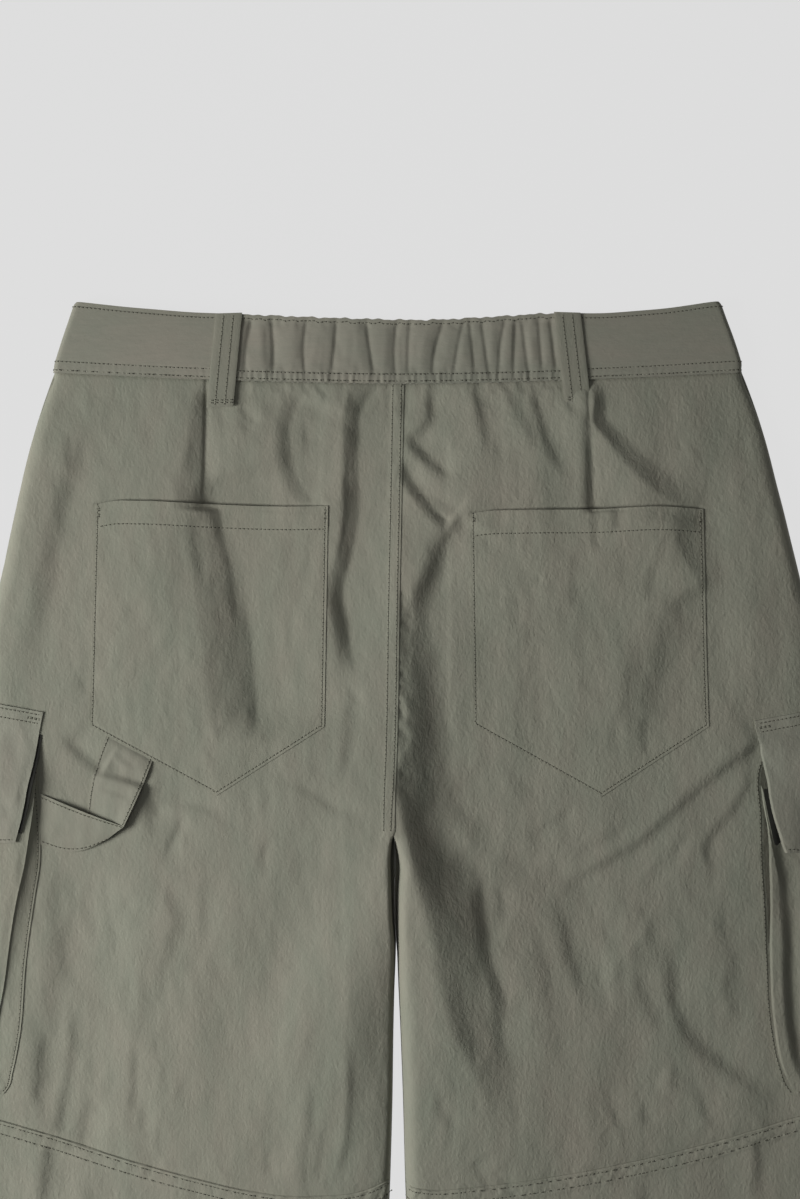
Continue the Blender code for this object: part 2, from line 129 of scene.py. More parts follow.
class Wire:
    """A socket of a material, so that shader maths reads as an expression on sockets and numbers."""

    def __init__(self, finish, socket):
        self.finish = finish
        self.socket = socket

    def maths(self, operation, first, second):
        return self.finish.node("ShaderNodeMath", {"operation": operation}, {0: first, 1: second})

    def __add__(self, other):
        return self.maths("ADD", self, other)

    __radd__ = __add__

    def __sub__(self, other):
        return self.maths("SUBTRACT", self, other)

    def __rsub__(self, other):
        return self.maths("SUBTRACT", other, self)

    def __mul__(self, other):
        return self.maths("MULTIPLY", self, other)

    __rmul__ = __mul__

    def __abs__(self):
        return self.maths("ABSOLUTE", self, 0.0)


class Finish:
    """One material: a Principled shader and the nodes that feed it."""

    def __init__(self, name, colour, roughness, sheen=0.0, specular=0.3):
        self.material = bpy.data.materials.new(name)
        self.material.use_nodes = True
        self.tree = self.material.node_tree
        self.shader = self.tree.nodes["Principled BSDF"]
        self.shader.inputs["Base Color"].default_value = (*colour, 1)
        self.shader.inputs["Roughness"].default_value = roughness
        self.shader.inputs["Sheen Weight"].default_value = sheen
        self.shader.inputs["Sheen Roughness"].default_value = 0.5
        self.shader.inputs["Specular IOR Level"].default_value = specular

    def node(self, kind, settings, values, output=0):
        """Adds a node, sets it, fills its sockets with values or links, and gives one output."""
        made = self.tree.nodes.new(kind)
        for name, value in settings.items():
            setattr(made, name, value)
        for place, value in values.items():
            if isinstance(value, Wire):
                self.tree.links.new(value.socket, made.inputs[place])
            else:
                made.inputs[place].default_value = value
        return Wire(self, made.outputs[output])

    def feed(self, place, wire):
        self.tree.links.new(wire.socket, self.shader.inputs[place])

    def vector(self, operation, first, second):
        return self.node("ShaderNodeVectorMath", {"operation": operation}, {0: first, 1: second})

    def place(self):
        """Where a point lies in its piece, in metres."""
        return self.node("ShaderNodeTexCoord", {}, {}, "Object")

    def noise(self, place, lengths, detail=2.0, seed=0.0):
        """Noise about 0, whose bumps are about these many millimetres long along x, y and z."""
        stretched = self.vector("MULTIPLY", place, tuple(1 / (METRES * length) for length in lengths))
        shifted = self.vector("ADD", stretched, (seed, 1.7 * seed, 0.4 * seed))
        made = self.node("ShaderNodeTexNoise", {}, {"Vector": shifted, "Scale": 1.0, "Detail": detail})
        return made - 0.5

    def ramp(self, wire, low, high, start=0.0, end=1.0):
        """A value that goes from start to end while the wire's goes from low to high."""
        return self.node("ShaderNodeMapRange", {}, {0: wire, 1: low, 2: high, 3: start, 4: end})

    def blend(self, share, first, second):
        """The first colour where the share is 0, and the second where it is 1."""
        colours = {"Factor": share, 6: (*first, 1), 7: (*second, 1)}
        return self.node("ShaderNodeMix", {"data_type": "RGBA"}, colours, 2)

    def bump(self, height, distance=METRES, strength=1.0):
        values = {"Strength": strength, "Distance": distance, "Height": height}
        self.feed("Normal", self.node("ShaderNodeBump", {}, values))


def cloth_finish(name, colour, along="y", crinkle=1.0):
    """Crinkled nylon whose long threads run along x or y: colour and relief follow the thread. Below
    the seat the colour is painted a little paler on the left leg and darker on the right, as painted light
    that falls off to the right; the right leg's cloth is also rougher."""
    finish = Finish(name, colour, roughness=0.78, sheen=0.06, specular=0.22)
    place = finish.place()
    place_x = finish.node("ShaderNodeSeparateXYZ", {}, {0: place})
    place_y = finish.node("ShaderNodeSeparateXYZ", {}, {0: place}, 1)

    def lengths(across, with_thread):
        return (across, with_thread, across) if along == "y" else (with_thread, across, across)

    patches = finish.noise(place, lengths(17, 42), detail=3.0, seed=3.1)
    clouds = finish.noise(place, lengths(60, 120), seed=7.7)
    streaks = finish.noise(place, lengths(1.5, 17), seed=1.3)
    slubs = finish.noise(place, lengths(2.6, 7), detail=3.0, seed=5.9)
    grain = finish.noise(place, (0.55, 0.55, 0.55), detail=1.0, seed=9.2)
    # painted light: below the seat the colour is 3% paler on the left leg and 3% darker on the right, for the
    # light's falloff
    painted_falloff = finish.ramp(place_x, -0.03, 0.04, 0.03, -0.03) * finish.ramp(place_y, 0.25, 0.17)
    shade = 1.0 + painted_falloff + 0.11 * streaks + 0.10 * slubs + 0.08 * patches + 0.09 * clouds + 0.09 * grain
    hue = finish.ramp(patches + 0.8 * clouds + 0.2 * streaks, -0.40, 0.40)
    green = tuple(c * f for c, f in zip(colour, (0.955, 1.000, 0.985)))
    rose = tuple(c * f for c, f in zip(colour, (1.055, 0.992, 1.000)))
    dye = finish.blend(hue, green, rose)
    shaded = finish.node("ShaderNodeVectorMath", {"operation": "SCALE"}, {0: dye, "Scale": shade})
    finish.feed("Base Color", shaded)

    coarse = finish.noise(place, lengths(6.8, 9.5), seed=2.2)
    medium = finish.noise(place, lengths(3.4, 5.8), seed=4.4)
    fine = finish.noise(place, lengths(1.3, 2.2), seed=6.6)
    rougher = finish.ramp(place_x, -0.03, 0.04, 1.0, 1.4)
    crinkles = abs(coarse) * -0.36 + (fine * 0.12 + abs(medium) * -0.39)
    finish.bump(crinkle * rougher * crinkles + grain * 0.024 + streaks * 0.014)
    return finish.material


leg_cloth = cloth_finish("leg_cloth", (0.211, 0.2115, 0.166))

# ------------------------------------------------------------------------------------------------
# The cloth's relief: one field of heights over the table, shared by the backs and by all that is
# sewn on them. The legs are softly crowned. The main folds are listed one by one; gathers and crinkles
# lie between them. A fold is a line along which the cloth falls away from the light on the left.
# ------------------------------------------------------------------------------------------------
FIELD_X = np.arange(-300, 301)
FIELD_Y = np.arange(-570, 526)
# the plan direction in which the light travels
LEE = (1.0, -0.08)


def smooth_ramp(value, start, end):
    """0 up to start, 1 from end on, and an s-shaped rise between them."""
    share = np.clip((value - start) / (end - start), 0, 1)
    return share * share * (3 - 2 * share)


def through(points, at):
    """A smooth curve through (place, value) pairs: cubic pieces with the mean slope at each pair."""
    places, values = np.array(sorted(points), float).T
    slopes = np.gradient(values, places)
    piece = np.clip(np.searchsorted(places, at) - 1, 0, len(places) - 2)
    width = places[piece + 1] - places[piece]
    t = np.clip((at - places[piece]) / width, 0, 1)
    start, end = values[piece], values[piece + 1]
    bend_in = (t - 2 * t**2 + t**3) * width * slopes[piece]
    bend_out = (t**3 - t**2) * width * slopes[piece + 1]
    return start + (end - start) * (3 * t**2 - 2 * t**3) + bend_in + bend_out


def smooth_path(points, step):
    """Points about a step apart on a smooth line through hand-set plan points."""
    points = np.array(points, float)
    along = np.concatenate([[0], np.cumsum(np.hypot(*np.diff(points, axis=0).T))])
    at = np.linspace(0, along[-1], max(3, int(along[-1] / step) + 1))
    return np.stack([through(list(zip(along, points[:, k])), at) for k in (0, 1)], axis=1)


def fold_height(x, y, fold, step=5.0):
    """Height that one fold adds at plan places, from the distance d past its line, away from the
    light, and its fall f, width w and rest r:
    slope   -f/2 tanh(2 d / w) exp(-(|d|/r)^1.6), a fall with level cloth on both sides
    crease  -f (1 - |d|/w)^1.4 before the line and -f exp(-(d/r)^1.6) past it
    ridge   the mirror image of a crease: the fall is past the line."""
    kind, fall, width, rest, fade_in, fade_out, path = fold
    line = smooth_path(path, step)
    start, run = line[:-1], np.diff(line, axis=0)
    long = np.hypot(*run.T)
    along = np.concatenate([[0], np.cumsum(long)])
    from_x = x[..., None] - start[:, 0]
    from_y = y[..., None] - start[:, 1]
    share = (from_x * run[:, 0] + from_y * run[:, 1]) / long**2
    held = np.clip(share, 0, 1)
    away = (from_x - held * run[:, 0]) ** 2 + (from_y - held * run[:, 1]) ** 2
    nearest = np.argmin(away, axis=-1)

    def at_nearest(values):
        return np.take_along_axis(values, nearest[..., None], -1)[..., 0]

    distance = np.sqrt(at_nearest(away))
    side = at_nearest(from_x * run[:, 1] - from_y * run[:, 0])
    turn = np.sign(np.sum(run[:, 1]) * LEE[0] - np.sum(run[:, 0]) * LEE[1])
    place = (along[nearest] + at_nearest(share) * long[nearest]) / along[-1]
    ends = np.ones_like(place)
    if fade_in:
        ends = ends * smooth_ramp(place, 0, fade_in)
    if fade_out:
        ends = ends * (1 - smooth_ramp(place, 1 - fade_out, 1))
    widths = np.atleast_1d(width)
    width = np.interp(place, np.linspace(0, 1, len(widths)), widths)
    past = np.sign(side) * turn > 0
    calm = np.exp(-((distance / rest) ** 1.6))
    if kind == "slope":
        shape = np.where(past, -0.5, 0.5) * np.tanh(2 * distance / width) * calm
    else:
        steep = np.clip(1 - distance / width, 0, 1) ** 1.4
        shape = np.where(past, -calm, -steep) if kind == "crease" else np.where(past, steep, calm)
    return fall * shape * ends


def add_folds(field, folds, step=5.0):
    """Adds each fold to the part of the field that it reaches."""
    for fold in folds:
        path = np.array(fold[6], float)
        margin = 2.0 * fold[3]
        left, right = np.searchsorted(FIELD_X, (path[:, 0].min() - margin, path[:, 0].max() + margin))
        low, high = np.searchsorted(FIELD_Y, (path[:, 1].min() - margin, path[:, 1].max() + margin))
        if left < right and low < high:
            x, y = np.meshgrid(FIELD_X[left:right], FIELD_Y[low:high])
            field[low:high, left:right] += fold_height(x, y, fold, step)


def rumple(seed, across, along):
    """Smooth random relief of unit size: white noise of which only the waves about these many
    millimetres long across and along the leg are kept."""
    shape = (len(FIELD_Y), len(FIELD_X))
    noise = np.random.default_rng(seed).standard_normal(shape)
    waves = np.hypot(np.fft.fftfreq(shape[0])[:, None] * along, np.fft.rfftfreq(shape[1]) * across)
    kept = np.exp(-(((waves - 1) / 0.45) ** 2))
    relief = np.fft.irfft2(np.fft.rfft2(noise) * kept, s=shape)
    return relief / relief.std()


# kind, fall, width of the fall (or widths from start to end), rest, fade at the start and at the end
# as shares of the length, and the path. A negative fall is a slope that faces the light.
SEAT_LEFT_FOLDS = (
    ("crease", 4.9, (12, 11, 11, 10, 10, 9), 55, 0, 0.2, ((-4, 507), (-11.5, 499), (-19, 490),
     (-23.5, 480), (-23.5, 468), (-24, 450), (-24, 430), (-24.5, 412), (-27, 400), (-29.5, 388),
     (-33, 376), (-34.5, 366), (-31.5, 352), (-29.5, 336), (-27, 322), (-23, 310))),
    ("crease", 1.0, 3.4, 7, 0, 0.4, ((-31, 440), (-31, 418), (-34, 398), (-38, 384))),
    ("slope", 0.8, 8, 18, 0.3, 0.4, ((-40, 374), (-38, 352), (-36, 330), (-35, 300))),
    ("slope", 1.4, 7, 16, 0.2, 0.4, ((-31, 306), (-31, 280), (-33, 262), (-36, 245))),
    ("crease", 0.8, 3.1, 6, 0.2, 0.4, ((-31, 309), (-27, 304), (-22, 299))),
    ("crease", 2.8, 9, 34, 0.15, 0.2, ((-56, 499), (-61, 490), (-66, 480), (-68, 468), (-67.5, 456),
     (-65, 446), (-60, 436), (-55, 428), (-50, 420))),
    ("crease", 0.7, 3.4, 6, 0.3, 0.3, ((-58, 478), (-56, 460))),
    ("slope", 3.6, 14, 30, 0.2, 0.3, ((-196, 488), (-200, 450), (-208, 430), (-213, 410), (-218, 390),
     (-224, 360), (-229, 340), (-233, 308))),
    ("crease", 7.5, (24, 30, 32, 30, 26), 60, 0.12, 0.16, ((-113, 446), (-105, 420), (-101.5, 400),
     (-97, 382), (-94, 362), (-92, 343), (-90, 322), (-88, 300), (-87, 272))),
    ("crease", 1.0, 5.1, 10, 0.1, 0.25, ((-110, 416), (-107.5, 400), (-104, 386), (-101, 366),
     (-98, 346))),
    ("crease", 0.6, 6.8, 12, 0.2, 0.3, ((-127, 418), (-125, 400), (-122, 385), (-118, 368))),
    ("crease", 1.6, 8.5, 14, 0, 0.4, ((-113, 425), (-109, 414), (-106, 400))),
    ("crease", 2.8, (7.0, 12.0, 20.0), 36, 0.1, 0.02, ((-119.6, 500), (-120, 470), (-120.8, 440),
     (-121.6, 420))),
    ("crease", 0.8, 5.1, 9, 0.2, 0.4, ((-113, 492), (-110, 480), (-106, 466))),
    ("crease", 2.0, 6, 12, 0.3, 0.1, ((-208, 280), (-198, 270), (-190, 263), (-182, 258))),
    ("crease", 1.2, 5, 9, 0.2, 0.3, ((-156, 246), (-152, 236), (-147, 226))),
    ("crease", 1.5, 4.2, 9, 0.3, 0.4, ((-150, 238), (-127, 236.5), (-112, 232), (-104, 226))),
    ("crease", 1.0, 4.1, 8, 0.3, 0.3, ((-76, 253), (-55, 245), (-41, 236), (-18, 228))),
    ("crease", 0.8, 3.4, 7, 0.3, 0.4, ((-198, 318), (-194, 304))),
    ("slope", 0.9, 4, 12, 0.2, 0.4, ((-205, 470), (-206, 455), (-203, 440))),
    ("slope", 1.1, 18, 30, 0.2, 0.3, ((-142, 432), (-140, 380), (-138, 335), (-136, 300))),
    ("crease", 1.0, 3.1, 5, 0.1, 0.4, ((-80, 501), (-77, 496.5), (-70, 495), (-63, 497))),
    ("crease", 1.0, 3.1, 5, 0.1, 0.4, ((-61, 501), (-57, 496), (-51, 491))),
    ("crease", 0.9, 3.1, 5, 0.1, 0.4, ((-50, 499), (-46, 493), (-41, 489.5))),
    ("crease", 0.9, 3.4, 6, 0.1, 0.4, ((-98, 486), (-92, 477), (-84, 474))),
    ("crease", 0.7, 3.4, 6, 0.2, 0.4, ((-99, 479), (-95, 472), (-88, 468))),
)
THIGH_LEFT_FOLDS = (
    ("crease", 1.0, 4.8, 9, 0.2, 0.4, ((-132, 230), (-140, 213), (-148, 197))),
    ("slope", 1.4, 6, 16, 0.1, 0.4, ((-158, 240), (-155, 226), (-149, 212))),
    ("slope", 1.2, 8, 22, 0.3, 0.4, ((-165, 205), (-152, 190), (-143, 178), (-138, 165), (-141, 150),
     (-147, 130), (-149, 112))),
    ("slope", -1.8, 16, 34, 0.3, 0.3, ((-181, 215), (-176, 190), (-171, 160), (-167, 130), (-165, 105))),
    ("crease", 0.8, 4.2, 8, 0.2, 0.4, ((-79, 216), (-84, 205), (-81, 188))),
    ("slope", 0.6, 3, 10, 0.3, 0.4, ((-118, 206), (-121, 180), (-120, 142))),
    ("slope", -5.2, 34, 60, 0.15, 0.3, ((-12, 218), (-22, 190), (-36, 164), (-50, 138), (-62, 110),
     (-74, 84), (-86, 54), (-94, 24))),
    ("slope", 2.2, 16, 32, 0.2, 0.3, ((-214, 216), (-212, 180), (-214, 140), (-217, 100), (-223, 60),
     (-230, 20))),
    ("slope", 2.0, 40, 40, 0.3, 0.2, ((-222, 110), (-224, 70), (-226, 20), (-228, -10))),
    ("slope", 0.9, 8, 14, 0.3, 0.2, ((-38, 84), (-40, 50), (-42, 10), (-44, -6))),
    ("slope", 1.3, 4, 14, 0.3, 0.2, ((-28, 90), (-29, 60), (-30, 36), (-34, 16), (-41, -4))),
    ("slope", 1.3, 5, 14, 0.3, 0.2, ((-50, 66), (-55, 38), (-58, 14), (-57, -5))),
    ("crease", 0.9, 5.1, 9, 0.3, 0.2, ((-44, 40), (-46, 20), (-49, 0))),
    ("slope", 1.3, 5, 12, 0.2, 0.3, ((-221, 96), (-224, 70), (-226, 45))),
    ("slope", 1.7, 6, 16, 0.3, 0.1, ((-201, 108), (-204, 78), (-208, 52), (-212, 28))),
    ("crease", 1.2, 5.4, 9, 0.3, 0.1, ((-189, 58), (-194, 38), (-196, 20))),
    ("crease", 0.9, 4.1, 8, 0.3, 0.2, ((-164, 88), (-163, 66), (-165, 42))),
    ("crease", 0.7, 3.4, 6, 0.3, 0.2, ((-158, 52), (-159, 30))),
    ("crease", 0.6, 3.4, 7, 0.3, 0.3, ((-118, 61), (-104, 57), (-88, 59))),
    ("crease", 0.7, 4.1, 7, 0.2, 0.2, ((-80, 24), (-79, 4))),
    ("slope", 0.8, 7, 16, 0.2, 0.4, ((-213, 160), (-210, 140), (-214, 118))),
)
SEAT_RIGHT_FOLDS = (
    ("crease", 1.5, 5.1, 10, 0, 0.4, ((8, 505), (5.5, 490), (4, 476))),
    ("slope", 2.2, 5, 16, 0, 0.4, ((21, 505), (20.5, 490), (19, 475), (12, 464), (5, 459))),
    ("slope", 3.4, 5.5, 20, 0, 0.8, ((47, 505), (50, 490), (53, 475), (55, 460), (57, 443))),
    ("slope", 1.9, 6, 16, 0, 0.3, ((64, 504), (71, 491), (77, 480), (84, 466), (86, 454))),
    ("slope", 1.7, 16, 26, 0.2, 0.3, ((18, 468), (24, 448), (26, 428), (28, 408))),
    ("slope", 0.9, 8, 16, 0.2, 0.3, ((4, 428), (5, 400), (5, 372), (5, 346))),
    ("slope", 2.8, 6, 18, 0.1, 0.3, ((80, 504), (84, 495), (88, 482), (91, 470), (97, 455), (106, 440))),
    ("crease", 1.5, 6, 10, 0, 0.4, ((103, 500), (107, 490), (112, 483), (119, 478))),
    ("crease", 0.9, 4.2, 8, 0, 0.4, ((76, 505), (78, 494), (80, 482))),
    ("crease", 1.5, 6.8, 26, 0.4, 0.02, ((119, 500), (120.3, 460), (121.8, 418))),
    ("crease", 1.0, 4, 14, 0.3, 0.05, ((120.2, 472), (121, 440), (121.8, 418))),
    ("ridge", 3.9, (7, 10, 14, 20), 28, 0.04, 0.36, ((122.5, 501), (123, 487), (122.5, 474), (129, 467),
     (136, 458), (144, 448), (154, 438), (164, 430), (178, 422), (193, 418))),
    ("slope", 0.6, 18, 36, 0.3, 0.3, ((166, 503), (183, 478), (199, 458), (212, 440), (224, 420),
     (238, 395))),
    ("slope", -2.5, 26, 44, 0.3, 0.3, ((204, 478), (208, 436), (211, 392), (213, 342), (219, 290))),
    ("crease", 3.0, 6.5, 12, 0.2, 0.3, ((6, 470), (15, 459), (24, 450), (38, 440))),
    ("crease", 3.2, 7, 12, 0.2, 0.1, ((5, 453), (9, 440), (15, 431), (24, 420), (34, 411))),
    ("slope", 4.8, 9, 28, 0.12, 0.45, ((41, 420), (34, 409), (28, 400), (25, 390), (21, 379), (16, 368),
     (10, 357))),
    ("slope", 0.9, 9, 16, 0.2, 0.3, ((37, 124), (38, 110), (42, 96), (47, 80))),
    ("slope", 0.8, 7, 14, 0.2, 0.3, ((17, 204), (22, 190), (27, 176), (33, 163))),
    ("crease", 1.7, 9, 14, 0.1, 0.5, ((53, 192), (53.5, 178), (55, 160), (58.5, 140), (64, 126),
     (68.5, 112), (65, 98), (68, 84), (72, 68), (73, 52))),
    ("slope", 4.5, 42, 56, 0.25, 0.3, ((80, 214), (79, 184), (82, 156), (94, 128), (106, 100))),
    ("slope", 2.4, 40, 46, 0.3, 0.3, ((118, 132), (126, 116), (140, 100), (156, 84))),
    ("crease", 0.9, 5.1, 8, 0.2, 0.4, ((63, 187), (66.5, 175), (66, 160))),
    ("slope", 2.8, 14, 28, 0.2, 0.3, ((27, 241), (38, 230), (48, 220), (58, 207))),
    ("crease", 0.9, 4.1, 7, 0.1, 0.4, ((137, 422), (138, 406))),
    ("crease", 0.9, 5.1, 9, 0.1, 0.3, ((124, 421), (124, 408), (126, 392))),
    ("ridge", 2.8, 20, 26, 0.15, 0.2, ((172, 420), (173, 405), (178, 393), (185, 380), (193, 366))),
    ("slope", 0.9, 6, 16, 0.3, 0.3, ((112, 402), (110, 380), (109, 354))),
    ("crease", 0.9, 6.8, 10, 0.3, 0.4, ((163, 390), (160, 376), (157, 362))),
    ("slope", 3.0, 18, 36, 0.2, 0.3, ((184, 370), (176, 353), (167, 338), (161, 322), (158, 305),
     (156, 288), (156, 266))),
    ("slope", 2.2, 12, 28, 0.3, 0.3, ((148, 348), (145, 325), (142, 300), (141, 276))),
    ("crease", 1.0, 5.1, 8, 0.2, 0.3, ((158, 293), (155, 281), (157, 266))),
)
THIGH_RIGHT_FOLDS = (
    ("slope", 2.6, 4, 22, 0.04, 0.08, ((228, 276), (216, 267), (205, 258), (193, 248), (180, 238),
     (167, 226), (155, 215), (135, 202), (104, 186))),
    ("slope", 1.1, 6, 12, 0.3, 0.3, ((209, 263), (198, 253), (184, 242))),
    ("slope", 2.1, 9, 13, 0.25, 0.3, ((223, 280), (221, 264), (221, 250), (222, 236))),
    ("slope", 2.0, 3.6, 15, 0.1, 0.3, ((224, 256), (214, 238), (206, 228), (198, 219), (193, 209),
     (195, 198), (197, 184))),
    ("slope", 1.1, 5, 18, 0.2, 0.3, ((103, 172), (106, 150), (112, 128), (120, 108))),
    ("slope", -1.1, 6, 14, 0.2, 0.3, ((128, 150), (131, 128), (134, 106))),
    ("crease", 0.9, 4, 7, 0.3, 0.3, ((150, 226), (128, 212), (108, 204))),
    ("crease", 0.9, 4, 7, 0.3, 0.3, ((112, 236), (98, 224), (80, 214))),
    ("crease", 0.8, 3.4, 6, 0.3, 0.3, ((96, 206), (80, 202), (62, 203))),
    ("slope", 1.2, 6, 14, 0.3, 0.3, ((172, 208), (161, 196), (150, 182))),
    ("crease", 0.8, 3.4, 6, 0.3, 0.3, ((186, 222), (176, 210), (170, 196))),
    ("slope", 2.7, 8, 24, 0.2, 0.2, ((165, 153), (169, 140), (171, 125), (172, 112), (178, 98), (186, 87),
     (196, 79), (208, 70), (222, 62), (236, 55))),
    ("slope", 1.6, 6, 16, 0.2, 0.3, ((147, 133), (153, 118), (158, 106), (165, 94))),
    ("slope", 0.9, 5, 12, 0.3, 0.3, ((64, 259), (78, 248), (87, 239))),
    ("slope", 1.2, 6, 14, 0.3, 0.4, ((150, 178), (156, 160), (160, 144))),
    ("crease", -0.8, 4.2, 8, 0.3, 0.3, ((137, 137), (150, 152), (163, 176))),
    ("slope", 1.2, 8, 18, 0.3, 0.4, ((96, 184), (102, 160), (108, 140), (119, 118))),
    ("crease", -0.8, 4.2, 8, 0.3, 0.3, ((163, 58), (167, 66), (173, 75))),
    ("slope", 1.2, 4, 11, 0.3, 0.2, ((186, 64), (190, 48), (197, 34))),
    ("crease", 0.9, 5.1, 9, 0.3, 0.3, ((154, 52), (157, 36))),
    ("crease", 0.8, 5.1, 9, 0.3, 0.3, ((128, 62), (134, 48), (141, 36))),
    ("crease", 0.9, 5.1, 9, 0.3, 0.3, ((24, 56), (30, 45), (38, 34))),
    ("crease", 0.8, 4.2, 8, 0.2, 0.2, ((46, 16), (54, 4), (63, -8))),
    ("crease", 0.8, 4.2, 8, 0.2, 0.2, ((60, 10), (68, 0), (74, -10))),
    ("slope", 1.1, 8, 20, 0.3, 0.3, ((84, 160), (92, 130), (96, 100), (104, 70))),
    ("slope", 1.0, 6, 16, 0.3, 0.4, ((205, 190), (203, 160), (211, 130), (215, 100))),
    ("slope", 1.2, 5, 14, 0.3, 0.4, ((205, 140), (207, 118), (216, 98))),
)
# The seat swells to a ridge along the seat seam and the right leg's inner edge, then falls to the
# right: y, place of the ridge and of the foot of the fall, its drop, and how straight the fall is.
RIDGE_FALL = (
    (470, 12, 30, 0.0, 0.0), (410, 14, 32, 0.3, 0.0), (388, 15, 32, 1.8, 0.0), (370, 9, 29, 4.9, 0.0),
    (350, 1, 30, 6.8, 0.0), (330, 0.5, 33, 7.9, 0.0), (310, 2, 34, 8.9, 0.0), (290, 4.0, 35, 9.3, 0.0),
    (270, 2.5, 39, 10.6, 0.0), (250, -4, 46, 13.8, 0.0), (232, 0, 37, 12.4, 0.0), (215, 4, 38, 12.2, 0.0),
    (200, 6.5, 52, 14.0, 0.0), (180, 12, 58, 12.8, 0.5), (160, 18, 60, 11.2, 0.8), (140, 22, 62, 9.0, 0.8),
    (120, 26, 67, 7.6, 0.8), (98, 32, 68, 6.3, 0.6), (80, 40, 74, 5.4, 0.6), (60, 50, 76, 2.8, 0.6),
    (40, 56, 78, 0.6, 1.0), (10, 64, 78, 0.0, 1.0), (-30, 64, 78, 0.0, 1.0), (-570, 64, 78, 0.0, 1.0),
)
SWELL = ((530, 0.0), (470, 0.0), (400, 0.8), (350, 3.2), (290, 5.8), (240, 8.4), (180, 9.4), (100, 8.8),
         (40, 7.2), (-40, 4.6), (-200, 2.0), (-570, 0.8))
STRIP = ((230, 0.0), (190, 0.8), (140, 2.0), (60, 2.6), (10, 1.4), (-60, 0.0), (-130, 0.0), (-570, 0.0))
SHIN_FOLDS = (
    ("slope", 1.8, 5.0, 11, 0.1, 0.3, ((-217, 24), (-220, 0), (-223, -22))),
    ("slope", 1.2, 5.0, 12, 0.2, 0.4, ((-196, 8), (-190, -30), (-176, -70))),
    ("slope", 2.0, 5.0, 12, 0.1, 0.3, ((223, 30), (225, 8), (220, -12))),
    ("slope", 1.4, 6.0, 14, 0.2, 0.4, ((150, 6), (158, -30), (172, -66))),
    ("slope", 1.3, 5.0, 12, 0.2, 0.4, ((60, -10), (52, -40), (56, -80))),
    ("slope", 1.2, 5.0, 12, 0.2, 0.4, ((-50, -16), (-44, -50), (-52, -90))),
    ("slope", 2.4, 10, 22, 0.3, 0.3, ((-190, -80), (-166, -130), (-130, -210))),
    ("slope", 2.0, 9, 20, 0.3, 0.3, ((-90, -330), (-120, -380), (-170, -450))),
    ("slope", 1.6, 7, 18, 0.3, 0.3, ((-60, -120), (-70, -190), (-64, -270))),
    ("slope", 1.4, 7, 18, 0.3, 0.3, ((-215, -230), (-208, -310), (-214, -380))),
    ("slope", 1.3, 5, 14, 0.3, 0.3, ((-140, -260), (-120, -300), (-92, -322))),
    ("slope", 1.5, 6, 15, 0.3, 0.1, ((-105, -440), (-98, -490), (-101, -552))),
    ("slope", 1.2, 5, 12, 0.3, 0.1, ((-180, -470), (-186, -510), (-182, -552))),
    ("slope", 2.4, 10, 22, 0.3, 0.3, ((110, -70), (136, -140), (170, -220))),
    ("slope", 2.0, 9, 20, 0.3, 0.3, ((190, -320), (156, -376), (110, -430))),
    ("slope", 1.6, 7, 18, 0.3, 0.3, ((70, -190), (62, -250), (72, -330))),
    ("slope", 1.4, 7, 18, 0.3, 0.3, ((212, -110), (218, -190), (208, -260))),
    ("slope", 1.3, 5, 14, 0.3, 0.3, ((90, -280), (116, -310), (150, -322))),
    ("slope", 1.5, 6, 15, 0.3, 0.1, ((180, -440), (176, -490), (182, -552))),
    ("slope", 1.2, 5, 12, 0.3, 0.1, ((85, -470), (90, -510), (86, -552))),
)

crown = through(
    ((530, 6.9), (505, 7.1), (488, 7.8), (455, 8.9), (400, 9.4), (200, 9.6), (60, 9.4), (-60, 8.8),
     (-300, 7.8), (-500, 6.8), (-560, 6.4)),
    FIELD_Y,
)
plan_x, plan_y = np.meshgrid(FIELD_X.astype(float), FIELD_Y.astype(float))


def ridge_relief(x, y):
    """A rise from the left up to the ridge, then a fall whose slope sets in at once and holds either
    to its foot or, where it is soft, only half way."""
    places, *columns = zip(*RIDGE_FALL)
    ridge, foot, drop, straight = (through(list(zip(places, column)), y) for column in columns)
    swell = through(SWELL, y)
    place = np.linspace(0, 1, 201)
    soft_fall = np.cumsum(smooth_ramp(place, -0.02, 0.16) * (1 - smooth_ramp(place, 0.34, 0.97)))
    hard_fall = np.cumsum(smooth_ramp(place, 0, 0.20) * (1 - smooth_ramp(place, 0.86, 1.0)))
    share = np.clip((x - ridge) / (foot - ridge), 0, 1)
    fallen = (1 - straight) * np.interp(share, place, soft_fall / soft_fall[-1])
    fallen += straight * np.interp(share, place, hard_fall / hard_fall[-1])
    rise = 0.74 * np.clip((x + 190) / 185, 0, 1)
    rise += 0.12 * smooth_ramp(x, -60, -8) + 0.14 * smooth_ramp(x, -28, 2)
    strip = through(STRIP, y) * np.clip(x / np.maximum(ridge, 8), 0, 1) * (x < foot + 200)
    return swell * rise + strip - drop * fallen + (0.32 * drop - 0.34 * swell) * smooth_ramp(x, 60, 190)


def beside_pockets(y):
    """1 along the cargo pockets, 0 above and below them."""
    return smooth_ramp(y, -50, 56) * (1 - smooth_ramp(y, 294, 320))


field = ridge_relief(plan_x, plan_y)
for folds in (SEAT_LEFT_FOLDS, THIGH_LEFT_FOLDS, SEAT_RIGHT_FOLDS, THIGH_RIGHT_FOLDS, SHIN_FOLDS):
    add_folds(field, folds)

# Gathers: short folds that run down from the elastic, uneven in length and depth.
chance = np.random.default_rng(11)
gathers = []
gather_x = -99.0
while gather_x < 103:
    length = chance.uniform(9, 30)
    drift = chance.uniform(-5, 5)
    path = ((gather_x, 505), (gather_x + 0.4 * drift, 500 - 0.5 * length), (gather_x + drift, 498 - length))
    gathers.append(("crease", chance.uniform(0.4, 1.3), chance.uniform(2.6, 4.6), 7, 0, 0.6, path))
    gather_x += chance.uniform(4.5, 8.5)
add_folds(field, gathers, 4.0)

